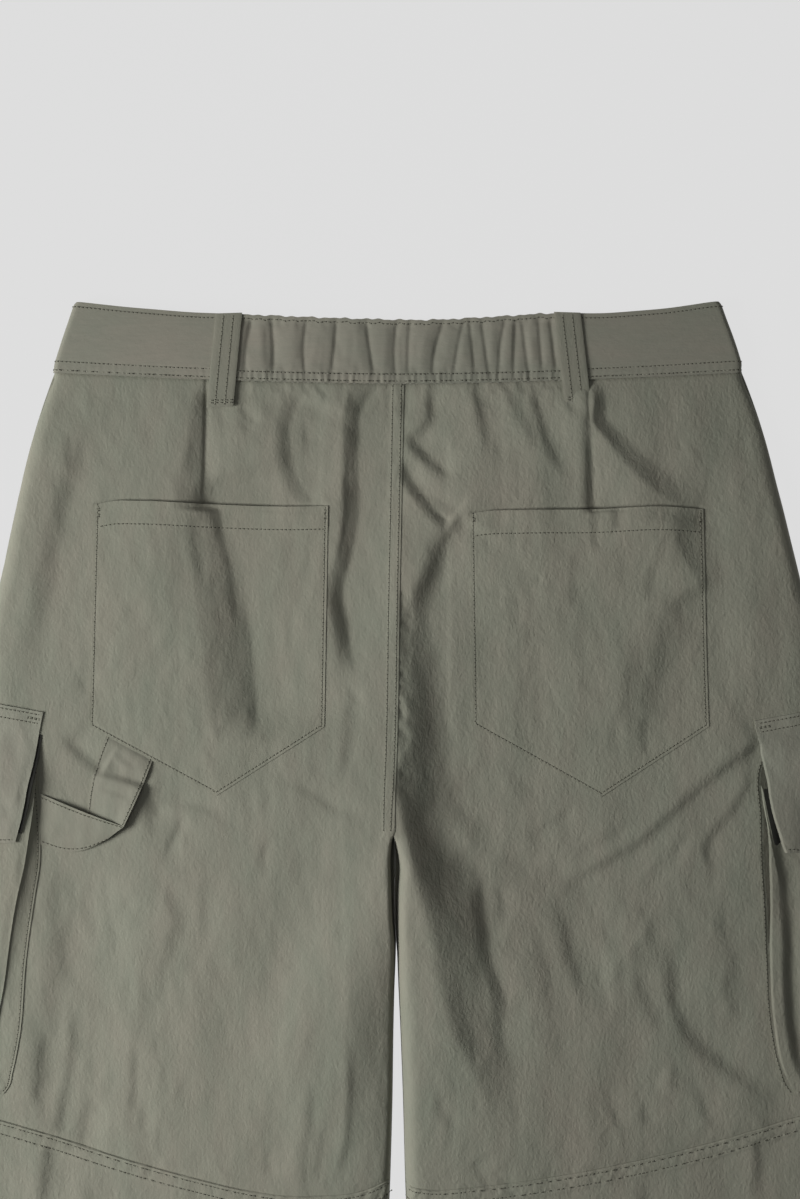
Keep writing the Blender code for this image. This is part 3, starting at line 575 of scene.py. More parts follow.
# Puckers where the cloth bunches against the seat seam, and under the waistband's seam.
puckered = []
SEAM_X = 1.5
for place_y in np.arange(366.0, 246, -5.2):
    place_y += chance.uniform(-2, 2)
    reach = chance.uniform(5, 10)
    path = ((SEAM_X, place_y + 2), (SEAM_X + 0.5 * reach, place_y + chance.uniform(-2, 2)),
            (SEAM_X + reach, place_y - chance.uniform(1, 5)))
    puckered.append(("crease", chance.uniform(0.4, 1.0), chance.uniform(2.0, 3.6), 3.5, 0.1, 0.5, path))
for place_x in np.arange(-100.0, 104, 5.6):
    place_x += chance.uniform(-2.2, 2.2)
    run_x, run_y = chance.uniform(2.5, 8), chance.uniform(1.5, 7)
    path = ((place_x, 500.5), (place_x + 0.5 * run_x, 499.5 - 0.5 * run_y), (place_x + run_x, 499 - run_y))
    puckered.append(("crease", chance.uniform(0.5, 1.5), chance.uniform(2.0, 3.4), 4, 0.05, 0.5, path))
add_folds(field, puckered, 2.5)

# Crinkles: many short, shallow folds set in by washing, mostly along the leg. They are deeper on the
# right half, and on its leg they lean from the upper left to the lower right.
CRINKLES = 1300
crinkles = []
for place_x, place_y, lean, length, fall, bow, kind in zip(
    chance.uniform(-272, 272, CRINKLES),
    chance.uniform(-550, 498, CRINKLES),
    chance.normal(0, 0.60, CRINKLES),
    chance.uniform(7, 30, CRINKLES),
    chance.gamma(2.0, 0.068, CRINKLES),
    chance.normal(0, 0.16, CRINKLES),
    chance.choice(("slope", "crease", "ridge"), CRINKLES),
):
    on_right = place_x > 20
    slant = lean + (0.35 if on_right and place_y < 240 else 0.0)
    run_x, run_y = length * math.sin(slant), -length * math.cos(slant)
    middle = (place_x + 0.5 * run_x - bow * run_y, place_y + 0.5 * run_y + bow * run_x)
    more = 1.15 if on_right else 1.0
    path = ((place_x, place_y), middle, (place_x + run_x, place_y + run_y))
    crinkles.append((kind, more * min(fall, 0.7), 1.8 + 2.4 * fall, 4 + 0.3 * length, 0.4, 0.5, path))
add_folds(field, crinkles, 6.0)

near_waist = 0.25 + 0.75 * (1 - smooth_ramp(FIELD_Y, 484, 503))[:, None]
soft = 0.20 * rumple(21, 40, 90) + 0.045 * rumple(22, 12, 26) - 0.10 * np.abs(rumple(23, 22, 40))
field = crown[:, None] + (field + soft) * near_waist
# The backs keep clear of the fronts: a soft lower limit, higher beside the cargo pockets.
floor = 2.7 + 2.4 * smooth_ramp(np.abs(plan_x), 96, 140) * beside_pockets(plan_y)
LIMIT_SHARPNESS = 1.6
field = floor + np.logaddexp(0, LIMIT_SHARPNESS * (field - floor)) / LIMIT_SHARPNESS


def cloth_height(x, y):
    """Height of the field at plan places, read between its four nearest points."""
    across = np.clip(x - FIELD_X[0], 0, len(FIELD_X) - 1.001)
    up = np.clip(y - FIELD_Y[0], 0, len(FIELD_Y) - 1.001)
    i, j = across.astype(int), up.astype(int)
    s, t = across - i, up - j
    below = field[j, i] * (1 - s) + field[j, i + 1] * s
    above = field[j + 1, i] * (1 - s) + field[j + 1, i + 1] * s
    return below * (1 - t) + above * t


# ------------------------------------------------------------------------------------------------
# Backs: a left and a right panel, joined by a felled seat seam that the left panel laps over, with
# a dart under each belt loop. Each panel rolls over at the side seam and, below the crotch, at the
# inside leg seam, where it meets the front.
# ------------------------------------------------------------------------------------------------
SIDES = {"left": -1, "right": 1}
NAMES = {-1: "left", 1: "right"}
WALL = 0.8
GAP = 0.3
WAIST_Y = 503
KNEE_Y = 17.5
HEM_Y = 1000 * cad_low.y
# y and the distance of the side folds from the middle, and how far both lie to the right of it
OUTLINE = (
    (503, 215.2), (470, 227.7), (431, 238.0), (390, 247.5), (350, 256.5), (320, 261.0), (294, 264.5),
    (240, 269.8), (180, 273.3), (95, 275.5), (17.5, 275.0), (-50, 272.0), (-130, 268.0), (-230, 263.0),
    (-340, 258.0), (-450, 254.0), (-550, 252.0),
)
HIP_LEAN = (
    (510, 0.6), (503, 0.8), (490, 1.0), (470, 1.15), (440, 1.25), (420, 1.6), (400, 1.9), (385, 2.2),
    (350, 1.8), (300, 1.0), (240, 0.0), (-550, 0.0),
)
# y and the place of the seat seam, which the middle between the legs goes on from
MIDLINE = (
    (503, 4.4), (431, 3.0), (350, 1.4), (294, 0.6), (265, -0.2), (240, -1.2), (215, -1.4), (200, -1.2),
    (180, -1.5), (165, -1.3), (150, -0.5), (120, -0.3), (95, 0.0), (60, 0.5), (17.5, 0.5), (-50, 0.6),
    (-130, 0.0), (-550, 0.0),
)
# y and half of the gap between the legs
HALF_GAP = (
    (219, 0.0), (214, 1.9), (205, 2.4), (198, 2.3), (188, 1.7), (178, 1.3), (165, 0.9), (150, 0.4),
    (135, 0.7), (120, 1.3), (95, 2.2), (56, 3.4), (17.5, 4.6), (-50, 7.5), (-130, 11.0), (-230, 15.5),
    (-340, 19.5), (-450, 23.0), (-550, 25.0),
)
# x and y of the curved knee seams
KNEE_SEAM = {
    "left": ((-280, 48), (-248, 39.5), (-216, 30), (-184, 19.5), (-152, 10), (-122, 2.2), (-93, -4.4),
             (-72, -7.4), (-50, -7.6), (-22, -4.7), (0, 4.5)),
    "right": ((0, 3.5), (8, -1.2), (18, -3), (49, -1.3), (97, 5), (145, 14), (193, 25.6), (225, 35),
              (252, 43), (280, 48)),
}
CROTCH_Y = 219
# how far in from the side and from the inside leg a panel is rolled over
ROLL_OUTSIDE = ((510, 7), (485, 9), (420, 10), (370, 11), (340, 14), (300, 22), (58, 22), (25, 13),
                (-10, 13), (-90, 13.5), (-550, 15))
ROLL_INSIDE = {
    "left": ((215, 4), (150, 4.5), (60, 5), (-50, 10), (-150, 20), (-550, 24)),
    "right": ((215, 10), (60, 12), (-150, 20), (-550, 24)),
}
# how far the left leg sinks towards its inner edge, over the last few centimetres
INNER_SINK = ((215, 1.0), (190, 1.6), (165, 2.4), (145, 4.2), (125, 6.4), (100, 7.6), (60, 6.6), (17, 5.4),
              (-80, 3.0), (-550, 1.0))
SEAM_HEIGHT = 2.15
CARGO_LIFT = 3.0
BAND_LIFT = 1.5
# the felled seam: how far the right panel laps under, how wide the felling is, how far it stands up
LAP = 1.6
FELL = 8.6
FELL_RISE = 0.3


def waist_seam(x):
    """y of the seam under the waistband, which is lowest in the middle and rises to both sides."""
    return 499.4 + 6.9 * (np.abs(x) / 215) ** 1.6


def outer_x(side, y):
    """Distance of a side fold from the middle of the garment."""
    return through(OUTLINE, y) + side * through(HIP_LEAN, y)


def curl(y):
    """0 where the seat seam joins the legs, 1 where an inside leg is folded."""
    return 1 - smooth_ramp(y, 192, CROTCH_Y + 2)


def half_gap(y):
    """Half of the gap between the legs, straight between the given places, and 0 above them."""
    return np.interp(y, *np.array(sorted(HALF_GAP)).T)


def inner_x(side, y):
    """Place of the seat seam or of an inside leg's fold. The right panel laps under the left."""
    lap = LAP * (1 - curl(y)) if side > 0 else 0.0
    return through(MIDLINE, y) + side * (half_gap(y) - lap)


def side_lift(y, cargo_share=1.0):
    """How far the layers of a cargo pocket, or of the band, lift the garment's side."""
    return np.maximum(CARGO_LIFT * beside_pockets(y) * cargo_share, BAND_LIFT * smooth_ramp(y, 430, 470))


def roll(distance, radius, squareness=2.0):
    """Height of a rolled edge as a share of the whole: a quarter of an ellipse, or a squarer curve."""
    share = np.clip(distance / radius, 0, 1)
    return (1 - (1 - share) ** squareness) ** (1 / squareness)


# Each pocket's open top edge from the left to the right, then its right corner, tip and left corner.
POCKETS = {
    "left": (((-188.8, 423.8), (-178, 425.8), (-160, 426), (-121, 424.2), (-60, 422.6), (-43.1, 423)),
             (-45.3, 285.0), (-112.5, 242.2), (-192.2, 285.0)),
    "right": (((45.6, 418.1), (54, 419.4), (80, 420.3), (121, 420.6), (169, 422.3), (191.3, 420.8)),
              (195.0, 285.0), (127.8, 240.9), (47.5, 285.6)),
}
# y and x of the darts' seams, from the waist to the pocket
DARTS = {
    "left": ((510, -119.3), (470, -120.0), (410, -121.5)),
    "right": ((510, 118.8), (460, 120.4), (405, 122.2)),
}


def leg_height(side, x, y):
    """Height of a back's outer face: the field, rolled down at the side and at the inside leg."""
    from_side = outer_x(side, y) - side * x
    from_inside = side * (x - inner_x(side, y))
    seam = SEAM_HEIGHT + side_lift(y)
    height = seam + (cloth_height(x, y) - seam) * roll(from_side, through(ROLL_OUTSIDE, y), 2.4)
    radius = through(ROLL_INSIDE[NAMES[side]], y)
    sink = through(INNER_SINK, y) * (1 - np.clip(from_inside / 30, 0, 1)) ** 1.4 * (side < 0)
    inside = np.maximum(height - sink, SEAM_HEIGHT + 0.3)
    inside = SEAM_HEIGHT + (inside - SEAM_HEIGHT) * roll(from_inside, radius, 3.4 if side < 0 else 3.0)
    joined = 1 - curl(y)
    height = height * joined + inside * (1 - joined)
    if side < 0:
        return height + FELL_RISE * joined * smooth_ramp(FELL - from_inside, 0, 2.4)
    return height - 0.2 * joined * (1 - smooth_ramp(from_inside, 0, 7))


def back_height(side, x, y):
    """The same with its sharp lines: a dart falls to its seam from the left, and the cloth sinks
    behind the pocket's open edge."""
    top = POCKETS[NAMES[side]][0]
    above = y - through(top, x)
    behind = smooth_ramp(x, top[0][0] - 1, top[0][0] + 3) * smooth_ramp(-x, -top[-1][0] - 1, -top[-1][0] + 3)
    depth = 0.8 + 1.6 * np.exp(-(((x - 122) / 24) ** 2))
    sunk = depth * behind * np.exp(-((above / np.where(above > 0, 1.3, 6)) ** 2))
    past = x - through(DARTS[NAMES[side]], np.clip(y, 405, 510))
    pinch = np.exp(-((np.abs(past) / np.where(past < 0, 1.1, 5)) ** 1.5))
    return leg_height(side, x, y) - sunk - 0.8 * pinch * smooth_ramp(y, 412, 426)


def graded(length, fine, coarse, growth=1.25):
    """Places from 0 to length, close together at both ends and further apart in the middle."""
    steps = [fine]
    while steps[-1] * growth < coarse and sum(steps) < 0.45 * length:
        steps.append(steps[-1] * growth)
    middle = length - 2 * sum(steps)
    count = max(1, round(middle / coarse))
    every = np.array(steps + [middle / count] * count + steps[::-1])
    return np.concatenate([[0], np.cumsum(every)])


def frame_of(grid):
    """Directions along the columns and the rows of a grid of points, and its outward normals."""
    across = np.gradient(grid, axis=1)
    down = np.gradient(grid, axis=0)
    normal = np.cross(down, across)
    normal /= np.linalg.norm(normal, axis=-1, keepdims=True) + 1e-12
    return across, down, normal


SHARP_DEGREES = 62


def wall_mesh(name, grid, thickness, finish, bulge=-0.15):
    """A closed wall of cloth whose outer face is a grid of points in mm. Columns run clockwise
    round the garment and rows run down. A ring of points along its edges stands out by a share of
    the thickness: an edge that is pressed flat is drawn in a little, a folded one is round."""
    rows, columns = grid.shape[:2]
    across, down, normal = frame_of(grid)
    inner = grid - thickness * normal
    index = np.arange(rows * columns).reshape(rows, columns)
    border = np.concatenate([index[0, :-1], index[:-1, -1], index[-1, :0:-1], index[:0:-1, 0]])
    outward = np.zeros_like(grid)
    outward[0] -= down[0]
    outward[-1] += down[-1]
    outward[:, 0] -= across[:, 0]
    outward[:, -1] += across[:, -1]
    outward = outward.reshape(-1, 3)[border]
    outward /= np.linalg.norm(outward, axis=-1, keepdims=True) + 1e-12
    flat_grid, flat_inner = grid.reshape(-1, 3), inner.reshape(-1, 3)
    ring = 0.5 * (flat_grid + flat_inner)[border] + bulge * thickness * outward
    points = np.concatenate([flat_grid, flat_inner, ring]) * METRES

    a, b, c, d = index[:-1, :-1], index[:-1, 1:], index[1:, 1:], index[1:, :-1]
    outer_faces = np.stack([a, d, c, b], axis=-1).reshape(-1, 4)
    inner_faces = np.stack([a, b, c, d], axis=-1).reshape(-1, 4) + rows * columns
    following = np.roll(border, -1)
    ring_index = 2 * rows * columns + np.arange(len(border))
    ring_following = np.roll(ring_index, -1)
    upper_rim = np.stack([border, following, ring_following, ring_index], axis=-1)
    under, following_under = border + rows * columns, following + rows * columns
    lower_rim = np.stack([ring_index, ring_following, following_under, under], axis=-1)
    faces = np.concatenate([outer_faces, inner_faces, upper_rim, lower_rim])
    piece = new_piece(name, points, faces, finish)
    piece.data.set_sharp_from_angle(angle=math.radians(SHARP_DEGREES))
    return piece


def new_piece(name, points, faces, finish):
    """An object at the origin, from arrays of points in metres and of four-sided faces."""
    mesh = bpy.data.meshes.new(name)
    mesh.vertices.add(len(points))
    mesh.vertices.foreach_set("co", points.astype(np.float32).ravel())
    mesh.loops.add(faces.size)
    mesh.loops.foreach_set("vertex_index", faces.astype(np.int32).ravel())
    mesh.polygons.add(len(faces))
    mesh.polygons.foreach_set("loop_start", np.arange(0, faces.size, 4, dtype=np.int32))
    mesh.update(calc_edges=True)
    mesh.shade_smooth()
    mesh.materials.append(finish)
    piece = bpy.data.objects.new(name, mesh)
    scene.collection.objects.link(piece)
    return piece


INSIDE_WIDTH = 26
WAIST_BLEND = 462


def panel_grid(side, base_y, shares):
    """Plan places of a panel's rows and columns, shaped to the waist seam. Columns are close at both
    rolled edges and at the given shares of the width between them."""
    outer = outer_x(side, base_y)[:, None]
    width = outer - side * inner_x(side, base_y)[:, None]
    turn = np.linspace(0, np.pi / 2, 10)
    rolled_out = through(ROLL_OUTSIDE, base_y)[:, None] * (1 - np.cos(turn))
    place = np.linspace(1, 0, 18)
    rolled_in = width - INSIDE_WIDTH * (0.5 * (1 - np.cos(0.5 * np.pi * place)) + 0.5 * place)
    start, end = rolled_out[:, -1:], rolled_in[:, :1]
    inward = np.concatenate([rolled_out, start + (end - start) * shares[1:-1], rolled_in], axis=1)
    x = side * (outer - inward)
    y = base_y[:, None] + np.zeros_like(x)
    y += smooth_ramp(y, WAIST_BLEND, WAIST_Y) * (waist_seam(x) - WAIST_Y)
    return x, y


def knee_line(name, x):
    return through(KNEE_SEAM[name], x)


# columns from the seat seam to the side, closest at the dart
BACK_SHARES = np.concatenate([np.linspace(0, 0.447, 48), np.linspace(0.4505, 0.515, 19),
                              np.linspace(0.5245, 0.79, 28), np.linspace(0.797, 1, 31)])
backs = {}
for name, side in SIDES.items():
    base_y = np.concatenate([
        np.linspace(WAIST_Y + 4, 480, 19), np.arange(478, 432, -2.3), np.arange(430.8, 414, -0.7),
        np.arange(412.6, 40, -2.5), np.linspace(39, KNEE_Y, 16),
    ])
    x, y = panel_grid(side, base_y, BACK_SHARES)
    y += (1 - smooth_ramp(base_y[:, None], KNEE_Y, 110)) * (knee_line(name, x) - KNEE_Y + GAP)
    z = back_height(side, x, y)
    z -= 1.5 * smooth_ramp(y, waist_seam(x) - 1.6, waist_seam(x) + 2)
    z -= 0.35 * (1 - smooth_ramp(y - knee_line(name, x), 0, 4))
    backs[name] = wall_mesh(f"back_{name}", np.stack([x, y, z], axis=-1)[:, ::-side], WALL, leg_cloth)

# ------------------------------------------------------------------------------------------------
# Thread: matt polyester, lockstitched at 2.6 mm. Each stitch is a short arched strand between two
# needle holes, and all the rows of a piece are one mesh.
# ------------------------------------------------------------------------------------------------
PITCH = 2.6
thread_finish = Finish("thread", (0.220, 0.218, 0.171), roughness=0.8, specular=0.15)
thread_twist = thread_finish.noise(thread_finish.place(), (0.25, 0.25, 0.25), detail=1.0)
thread_finish.bump(thread_twist, 0.05 * METRES, 0.6)
thread = thread_finish.material
# the needle holes' dark colour is painted shade: flat discs darkened for the shade inside each hole
needle_hole_painted_shade = Finish("needle_hole_painted_shade", (0.065, 0.063, 0.050), roughness=0.95, specular=0.0).material


def laid(surface, first, second, step=0.4):
    """Points on a surface of two parameters, with the surface's normals, worked out by differences."""
    here = surface(first, second)
    along_first = surface(first + step, second) - surface(first - step, second)
    along_second = surface(first, second + step) - surface(first, second - step)
    normal = np.cross(along_first, along_second)
    return here, normal / (np.linalg.norm(normal, axis=-1, keepdims=True) + 1e-12)


def resample(points, normals, pitch):
    """Centres about a pitch apart along a line of points, with the line's and the surface's
    directions there."""
    along = np.concatenate([[0], np.cumsum(np.linalg.norm(np.diff(points, axis=0), axis=1))])
    count = max(1, int(along[-1] / pitch))
    at = (np.arange(count) + 0.5) * along[-1] / count

    def read(values, places):
        return np.stack([np.interp(places, along, values[:, k]) for k in range(3)], axis=1)

    direction = read(points, at + 0.3 * pitch) - read(points, at - 0.3 * pitch)
    direction /= np.linalg.norm(direction, axis=1, keepdims=True) + 1e-12
    up = read(normals, at)
    up -= direction * np.sum(up * direction, axis=1, keepdims=True)
    up /= np.linalg.norm(up, axis=1, keepdims=True) + 1e-12
    return read(points, at), direction, up


# each ring's place along the stitch as a share of its length, its height and its radius
STRAND_RINGS = ((-0.30, 0.05, 0.14), (0.0, 0.21, 0.24), (0.30, 0.05, 0.14))
STRAND_WIDENED = 1.15
# the height and the radius of the two rings of a needle hole's dark disc, which is painted shade
HOLE_RINGS = ((-0.10, 0.54), (0.17, 0.46))


def prism_faces(rings, count):
    """Four-sided faces of so many closed prisms, each of so many rings of four points."""
    quads = [(4 * r + k, 4 * r + 4 + k, 4 * r + 4 + (k + 1) % 4, 4 * r + (k + 1) % 4)
             for r in range(rings - 1) for k in range(4)]
    last = 4 * (rings - 1)
    quads += [(0, 1, 2, 3), (last + 3, last + 2, last + 1, last)]
    return (np.array(quads)[None] + (np.arange(count) * 4 * rings)[:, None, None]).reshape(-1, 4)


def stitches(name, lines):
    """All the stitches of some lines as one mesh: a strand for each stitch, which is three square
    rings along an arch, and at its end a flat dark disc that is painted shade for the needle hole."""
    parts = zip(*(resample(points, normals, PITCH) for points, normals in lines))
    centres, directions, ups = (np.concatenate(part)[:, None] for part in parts)
    sideways = np.cross(directions, ups)
    turn = 2 * np.pi * (np.arange(4) + 0.5) / 4
    cosine, sine = np.cos(turn)[None, :, None], np.sin(turn)[None, :, None]
    strand = np.concatenate([
        centres + directions * along * PITCH + ups * (rise + radius * sine)
        + sideways * (STRAND_WIDENED * radius * cosine)
        for along, rise, radius in STRAND_RINGS
    ], axis=1)
    hole = np.concatenate([
        centres + directions * (0.5 * PITCH + radius * sine) + ups * rise + sideways * (radius * cosine)
        for rise, radius in HOLE_RINGS
    ], axis=1)
    strand_faces = prism_faces(len(STRAND_RINGS), len(centres))
    hole_faces = prism_faces(len(HOLE_RINGS), len(centres))[:, ::-1] + strand.shape[0] * strand.shape[1]
    points = np.concatenate([strand.reshape(-1, 3), hole.reshape(-1, 3)]) * METRES
    piece = new_piece(name, points, np.concatenate([strand_faces, hole_faces]), thread)
    piece.data.materials.append(needle_hole_painted_shade)
    slots = np.repeat([0, 1], [len(strand_faces), len(hole_faces)]).astype(np.int32)
    piece.data.polygons.foreach_set("material_index", slots)
    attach(piece, "root")
    return piece


def groove(off, width=0.8):
    """1 along a row of stitches, which pulls the cloth in, and less at a distance from it."""
    return np.exp(-((off / width) ** 2))


def offset_path(path, distance):
    """A plan path moved to its left by a distance."""
    ahead = np.gradient(path, axis=0)
    ahead /= np.hypot(*ahead.T)[:, None]
    return path + distance * np.stack([-ahead[:, 1], ahead[:, 0]], axis=1)


def standing(height):
    """The surface over x and y whose height is that function of them."""
    return lambda x, y: np.stack([x, y, height(x, y)], axis=-1)


seat_y = np.arange(503.0, 220, -1)
seat_rows = []
for inset in (1.6, 6.9):
    seat_x = through(MIDLINE, seat_y) - inset - 0.9 * smooth_ramp(-seat_y, -250, -220) * (inset < 5)
    seat_rows.append(laid(standing(lambda x, y: back_height(-1, x, y)), seat_x, seat_y))
seat_stitches = stitches("stitches_seat", seat_rows)


def sewn_in(piece, slot, node, **sheet):
    """A piece of cloth stays with the garment and stands for a solid of the model, which is hidden."""
    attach(piece, "root")
    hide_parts(node)


for name, piece in backs.items():
    sewn_in(piece, "leg_cloth", f"back_{name}", flat=(0.262, 0.502), held="laid", area=0.122,
            rests_on=[f"front_{name}"], with_pieces=[seat_stitches] if name == "left" else [])

# ------------------------------------------------------------------------------------------------
# Lower backs: the same cloth from the curved knee seam to the hem. The seam's allowance is pressed
# down and topstitched twice, which puckers it, and the hem is turned up and stitched.
# ------------------------------------------------------------------------------------------------
HEM_DEPTH = 25
HEM_RUN = np.arange(28.0, 249)
HEM_ROW_Y = np.full_like(HEM_RUN, HEM_Y + HEM_DEPTH - 3)
KNEE_ROWS = (2.4, 8.2)


def puckers(along, off, seed, length=6.0, height=0.22, inner=1.2, outer=9.5):
    """Small pinched waves across a topstitched seam, dying out at and beyond its rows."""
    chance = np.random.default_rng(seed)
    wave = sum(
        np.sin(2 * np.pi * along / (length * chance.uniform(0.6, 1.6)) + chance.uniform(0, 6.3)
               + 0.25 * chance.uniform(-1, 1) * off)
        for _ in range(4)
    )
    inside = smooth_ramp(off, 0, inner) * (1 - smooth_ramp(off, outer - 2, outer + 3))
    return 0.5 * height * wave * inside


def lower_height(side, x, y):
    """Height of a lower back's outer face: the back's, with the knee seam and the hem."""
    below = knee_line(NAMES[side], x) - y
    height = back_height(side, x, y)
    height += 0.35 * smooth_ramp(below, -0.2, 0.6) * (1 - smooth_ramp(below, 8.8, 12))
    height += puckers(x + 0.6 * below, below, 5 if side < 0 else 6, 6.0, 0.24 if side < 0 else 0.34)
    for row in KNEE_ROWS:
        height -= 0.22 * groove(below - row, 0.9)
    height -= 1.25 * smooth_ramp(-below, -0.6, 0.4)
    return height + 0.5 * smooth_ramp(-y, -HEM_Y - HEM_DEPTH - 0.6, -HEM_Y - HEM_DEPTH + 0.6)


for name, side in SIDES.items():
    base_y = np.concatenate([
        KNEE_Y + np.array((2.0, 0.9)), KNEE_Y - np.arange(0.0, 13, 0.7), np.arange(3, -520, -4.6),
        np.linspace(-521, HEM_Y, 12),
    ])
    x, y = panel_grid(side, base_y, np.linspace(0, 1, 86))
    y += smooth_ramp(base_y[:, None], -60, KNEE_Y - 13) * (knee_line(name, x) - KNEE_Y)
    on_lower = standing(lambda x, y, side=side: lower_height(side, x, y))
    piece = wall_mesh(f"back_leg_{name}", on_lower(x, y)[:, ::-side], WALL, leg_cloth)
    edge = side * np.arange(abs(inner_x(side, np.array([KNEE_Y]))[0]) + 2.5, 272, 1.0)[::side]
    knee_lines = []
    for row in KNEE_ROWS:
        path = offset_path(np.stack([edge, knee_line(name, edge)], axis=1), -row)
        knee_lines.append(laid(on_lower, path[:, 0], path[:, 1]))
    hem_lines = [laid(on_lower, side * HEM_RUN, HEM_ROW_Y)]
    seam_stitches = stitches(f"stitches_knee_{name}", knee_lines + hem_lines)
    sewn_in(piece, "leg_cloth", f"back_leg_{name}", flat=(0.256, 0.580), held="laid", area=0.138,
            rests_on=[f"front_{name}"], with_pieces=[seam_stitches])

# ------------------------------------------------------------------------------------------------
# Fronts: two plain panels that lie on the table under the backs, joined at the middle by the fly
# and the front seam. The cargo pockets and the band under them lift them a little.
# ------------------------------------------------------------------------------------------------
FRONT_DIP = 12
FRONT_FOLD = 2.1
FRONT_CURL_GAP = 0.06

front_creases = np.abs(0.30 * rumple(41, 30, 70) + 0.30 * rumple(42, 18, 40))


def front_lift(side, x, y):
    """How far the pocket layers and the band under a front lift it from the table."""
    outer = outer_x(side, y)
    share = (outer - side * x) / (outer - side * inner_x(side, y))
    return side_lift(y, 1 - smooth_ramp(share, 0.47, 0.60))


def parted(y):
    """0 where the fronts are joined at the middle, 1 where the legs are apart."""
    return 1 - smooth_ramp(y, 138, 152)


def front_inner_x(side, y):
    return through(MIDLINE, y) + side * np.maximum(half_gap(y) * parted(y), 0.01)


def crease_height(x, y):
    """Height of the fronts' creases at the nearest points of the field."""
    i = np.clip(np.round(x - FIELD_X[0]).astype(int), 0, len(FIELD_X) - 1)
    j = np.clip(np.round(y - FIELD_Y[0]).astype(int), 0, len(FIELD_Y) - 1)
    return front_creases[j, i]


fronts = {}
for name, side in SIDES.items():
    base_y = np.concatenate([np.arange(WAIST_Y, -520, -7.5), np.linspace(-521, HEM_Y, 6)])
    outer = outer_x(side, base_y)[:, None]
    width = outer - side * front_inner_x(side, base_y)[:, None]
    turn = np.linspace(0, np.pi / 2, 5)
    rolled = FRONT_FOLD * (1 - np.cos(turn))
    share = np.linspace(0, 1, 36)[1:-1]
    middle = FRONT_FOLD + (width - 2 * FRONT_FOLD) * share
    inward = np.concatenate([rolled + 0 * width, middle, width - rolled[::-1]], axis=1)
    x = side * (outer - inward)
    y = base_y[:, None] + np.zeros_like(x)
    dip = FRONT_DIP * np.maximum(0, 1 - (x / outer) ** 2)
    y += smooth_ramp(y, WAIST_BLEND, WAIST_Y) * (waist_seam(x) - GAP - WAIST_Y - dip)
    lift = front_lift(side, x, y)
    inside_top = SEAM_HEIGHT - FRONT_CURL_GAP
    top = inside_top + side_lift(y)
    from_inside = width - inward
    creased = crease_height(x, y) * smooth_ramp(inward, 4, 30) * smooth_ramp(from_inside, 4, 30)
    z = lift + creased * (1.1 - 0.25 * lift)
    z = top + (z - top) * roll(inward, FRONT_FOLD)
    folded = inside_top + (z - inside_top) * roll(from_inside, FRONT_FOLD)
    z = z * (1 - parted(y)) + folded * parted(y)
    fronts[name] = wall_mesh(f"front_{name}", np.stack([x, y, z], axis=-1)[:, ::side], WALL, leg_cloth)


def below_front(side, x, y):
    """A line on the table side of a front, with normals that point down."""
    points = np.stack([x, y, front_lift(side, x, y)], axis=-1)
    return points, np.broadcast_to((0.0, 0.0, -1.0), points.shape)


for name, side in SIDES.items():
    rows = [below_front(side, side * HEM_RUN, HEM_ROW_Y)]
    seam_y = np.arange(478.0, 215, -1)
    rows.append(below_front(side, through(MIDLINE, seam_y) + side * 3.0, seam_y))
    if side < 0:
        fly_y = np.append(np.arange(478.0, 345, -1), 345.0)
        fly_x = -38 + 34 * smooth_ramp(-fly_y, -375, -345) ** 2
        rows.append(below_front(side, fly_x, fly_y))
    front_stitches = stitches(f"stitches_front_{name}", rows)
    sewn_in(fronts[name], "leg_cloth", f"front_{name}", flat=(0.262, 1.050), held="laid", area=0.262,
            with_pieces=[front_stitches])

# ------------------------------------------------------------------------------------------------
# Waistband: a doubled strip of the same cloth, cut along the thread. Its middle at the back holds
# a wide elastic that gathers it; its smooth ends go round the sides to the button at the front.
# ------------------------------------------------------------------------------------------------
band_cloth = cloth_finish("band_cloth", (0.212, 0.2085, 0.167), along="x", crinkle=0.45)
BAND_WALL = 1.4
BAND_TOP_Z = 8.1
BAND_BOTTOM_Z = 1.5
BAND_JOINS = {"left": -103.0, "right": 105.0}
BAND_TOP_HALF = 201.2
BAND_BOTTOM_HALF = 215.0
BAND_ROWS = (1.6, 6.6)
# x and y of the top edge
BAND_EDGE = (
    (-210, 551.2), (-195, 550.0), (-185, 548.9), (-170, 547.3), (-150, 545.6), (-130, 544.0), (-105, 543.0),
    (-60, 541.1), (-20, 539.8), (20, 539.2), (60, 541.1), (100, 543.4), (130, 543.4), (150, 544.8),
    (170, 546.6), (185, 548.7), (195, 550.2), (210, 551.6),
)


def band_top(x):
    """The band's top edge, which waves a little where it is gathered."""
    gathered = smooth_ramp(x, -103, -98) * (1 - smooth_ramp(x, 98, 103))
    waves = np.sin(0.93 * x) + np.sin(0.57 * x + 1) + np.sin(0.31 * x)
    return through(BAND_EDGE, x) + 0.22 * gathered * waves


# top x, middle x, bottom x, fall and width of each fold of the elastic
ELASTIC_FOLDS = (
    (-92.5, -96.5, -97.7, 1.6, 3.4), (-80.5, -79.2, -79.7, 2.2, 3.0), (-58.3, -60.3, -58.5, 1.8, 3.2),
    (-39.4, -41.1, -43.7, 2.0, 3.2), (-21.6, -18.8, -15.2, 1.9, 3.2), (-1.7, -3.4, -2.6, 1.8, 3.2),
    (6.4, 5.2, 5.0, 0.9, 2.6), (28.4, 22.0, 19.5, 2.1, 3.4), (40.4, 36.0, 32.6, 1.0, 2.8),
    (43.0, 45.4, 47.2, 1.2, 2.8), (50.4, 53.5, 56.4, 1.3, 2.8), (66.0, 62.6, 61.7, 1.4, 2.8),
    (72.2, 71.3, 71.0, 1.2, 2.6), (76.0, 78.6, 81.4, 1.3, 2.8), (86.4, 88.0, 89.4, 1.2, 2.6),
    (93.4, 96.0, 99.2, 1.3, 2.8),
)


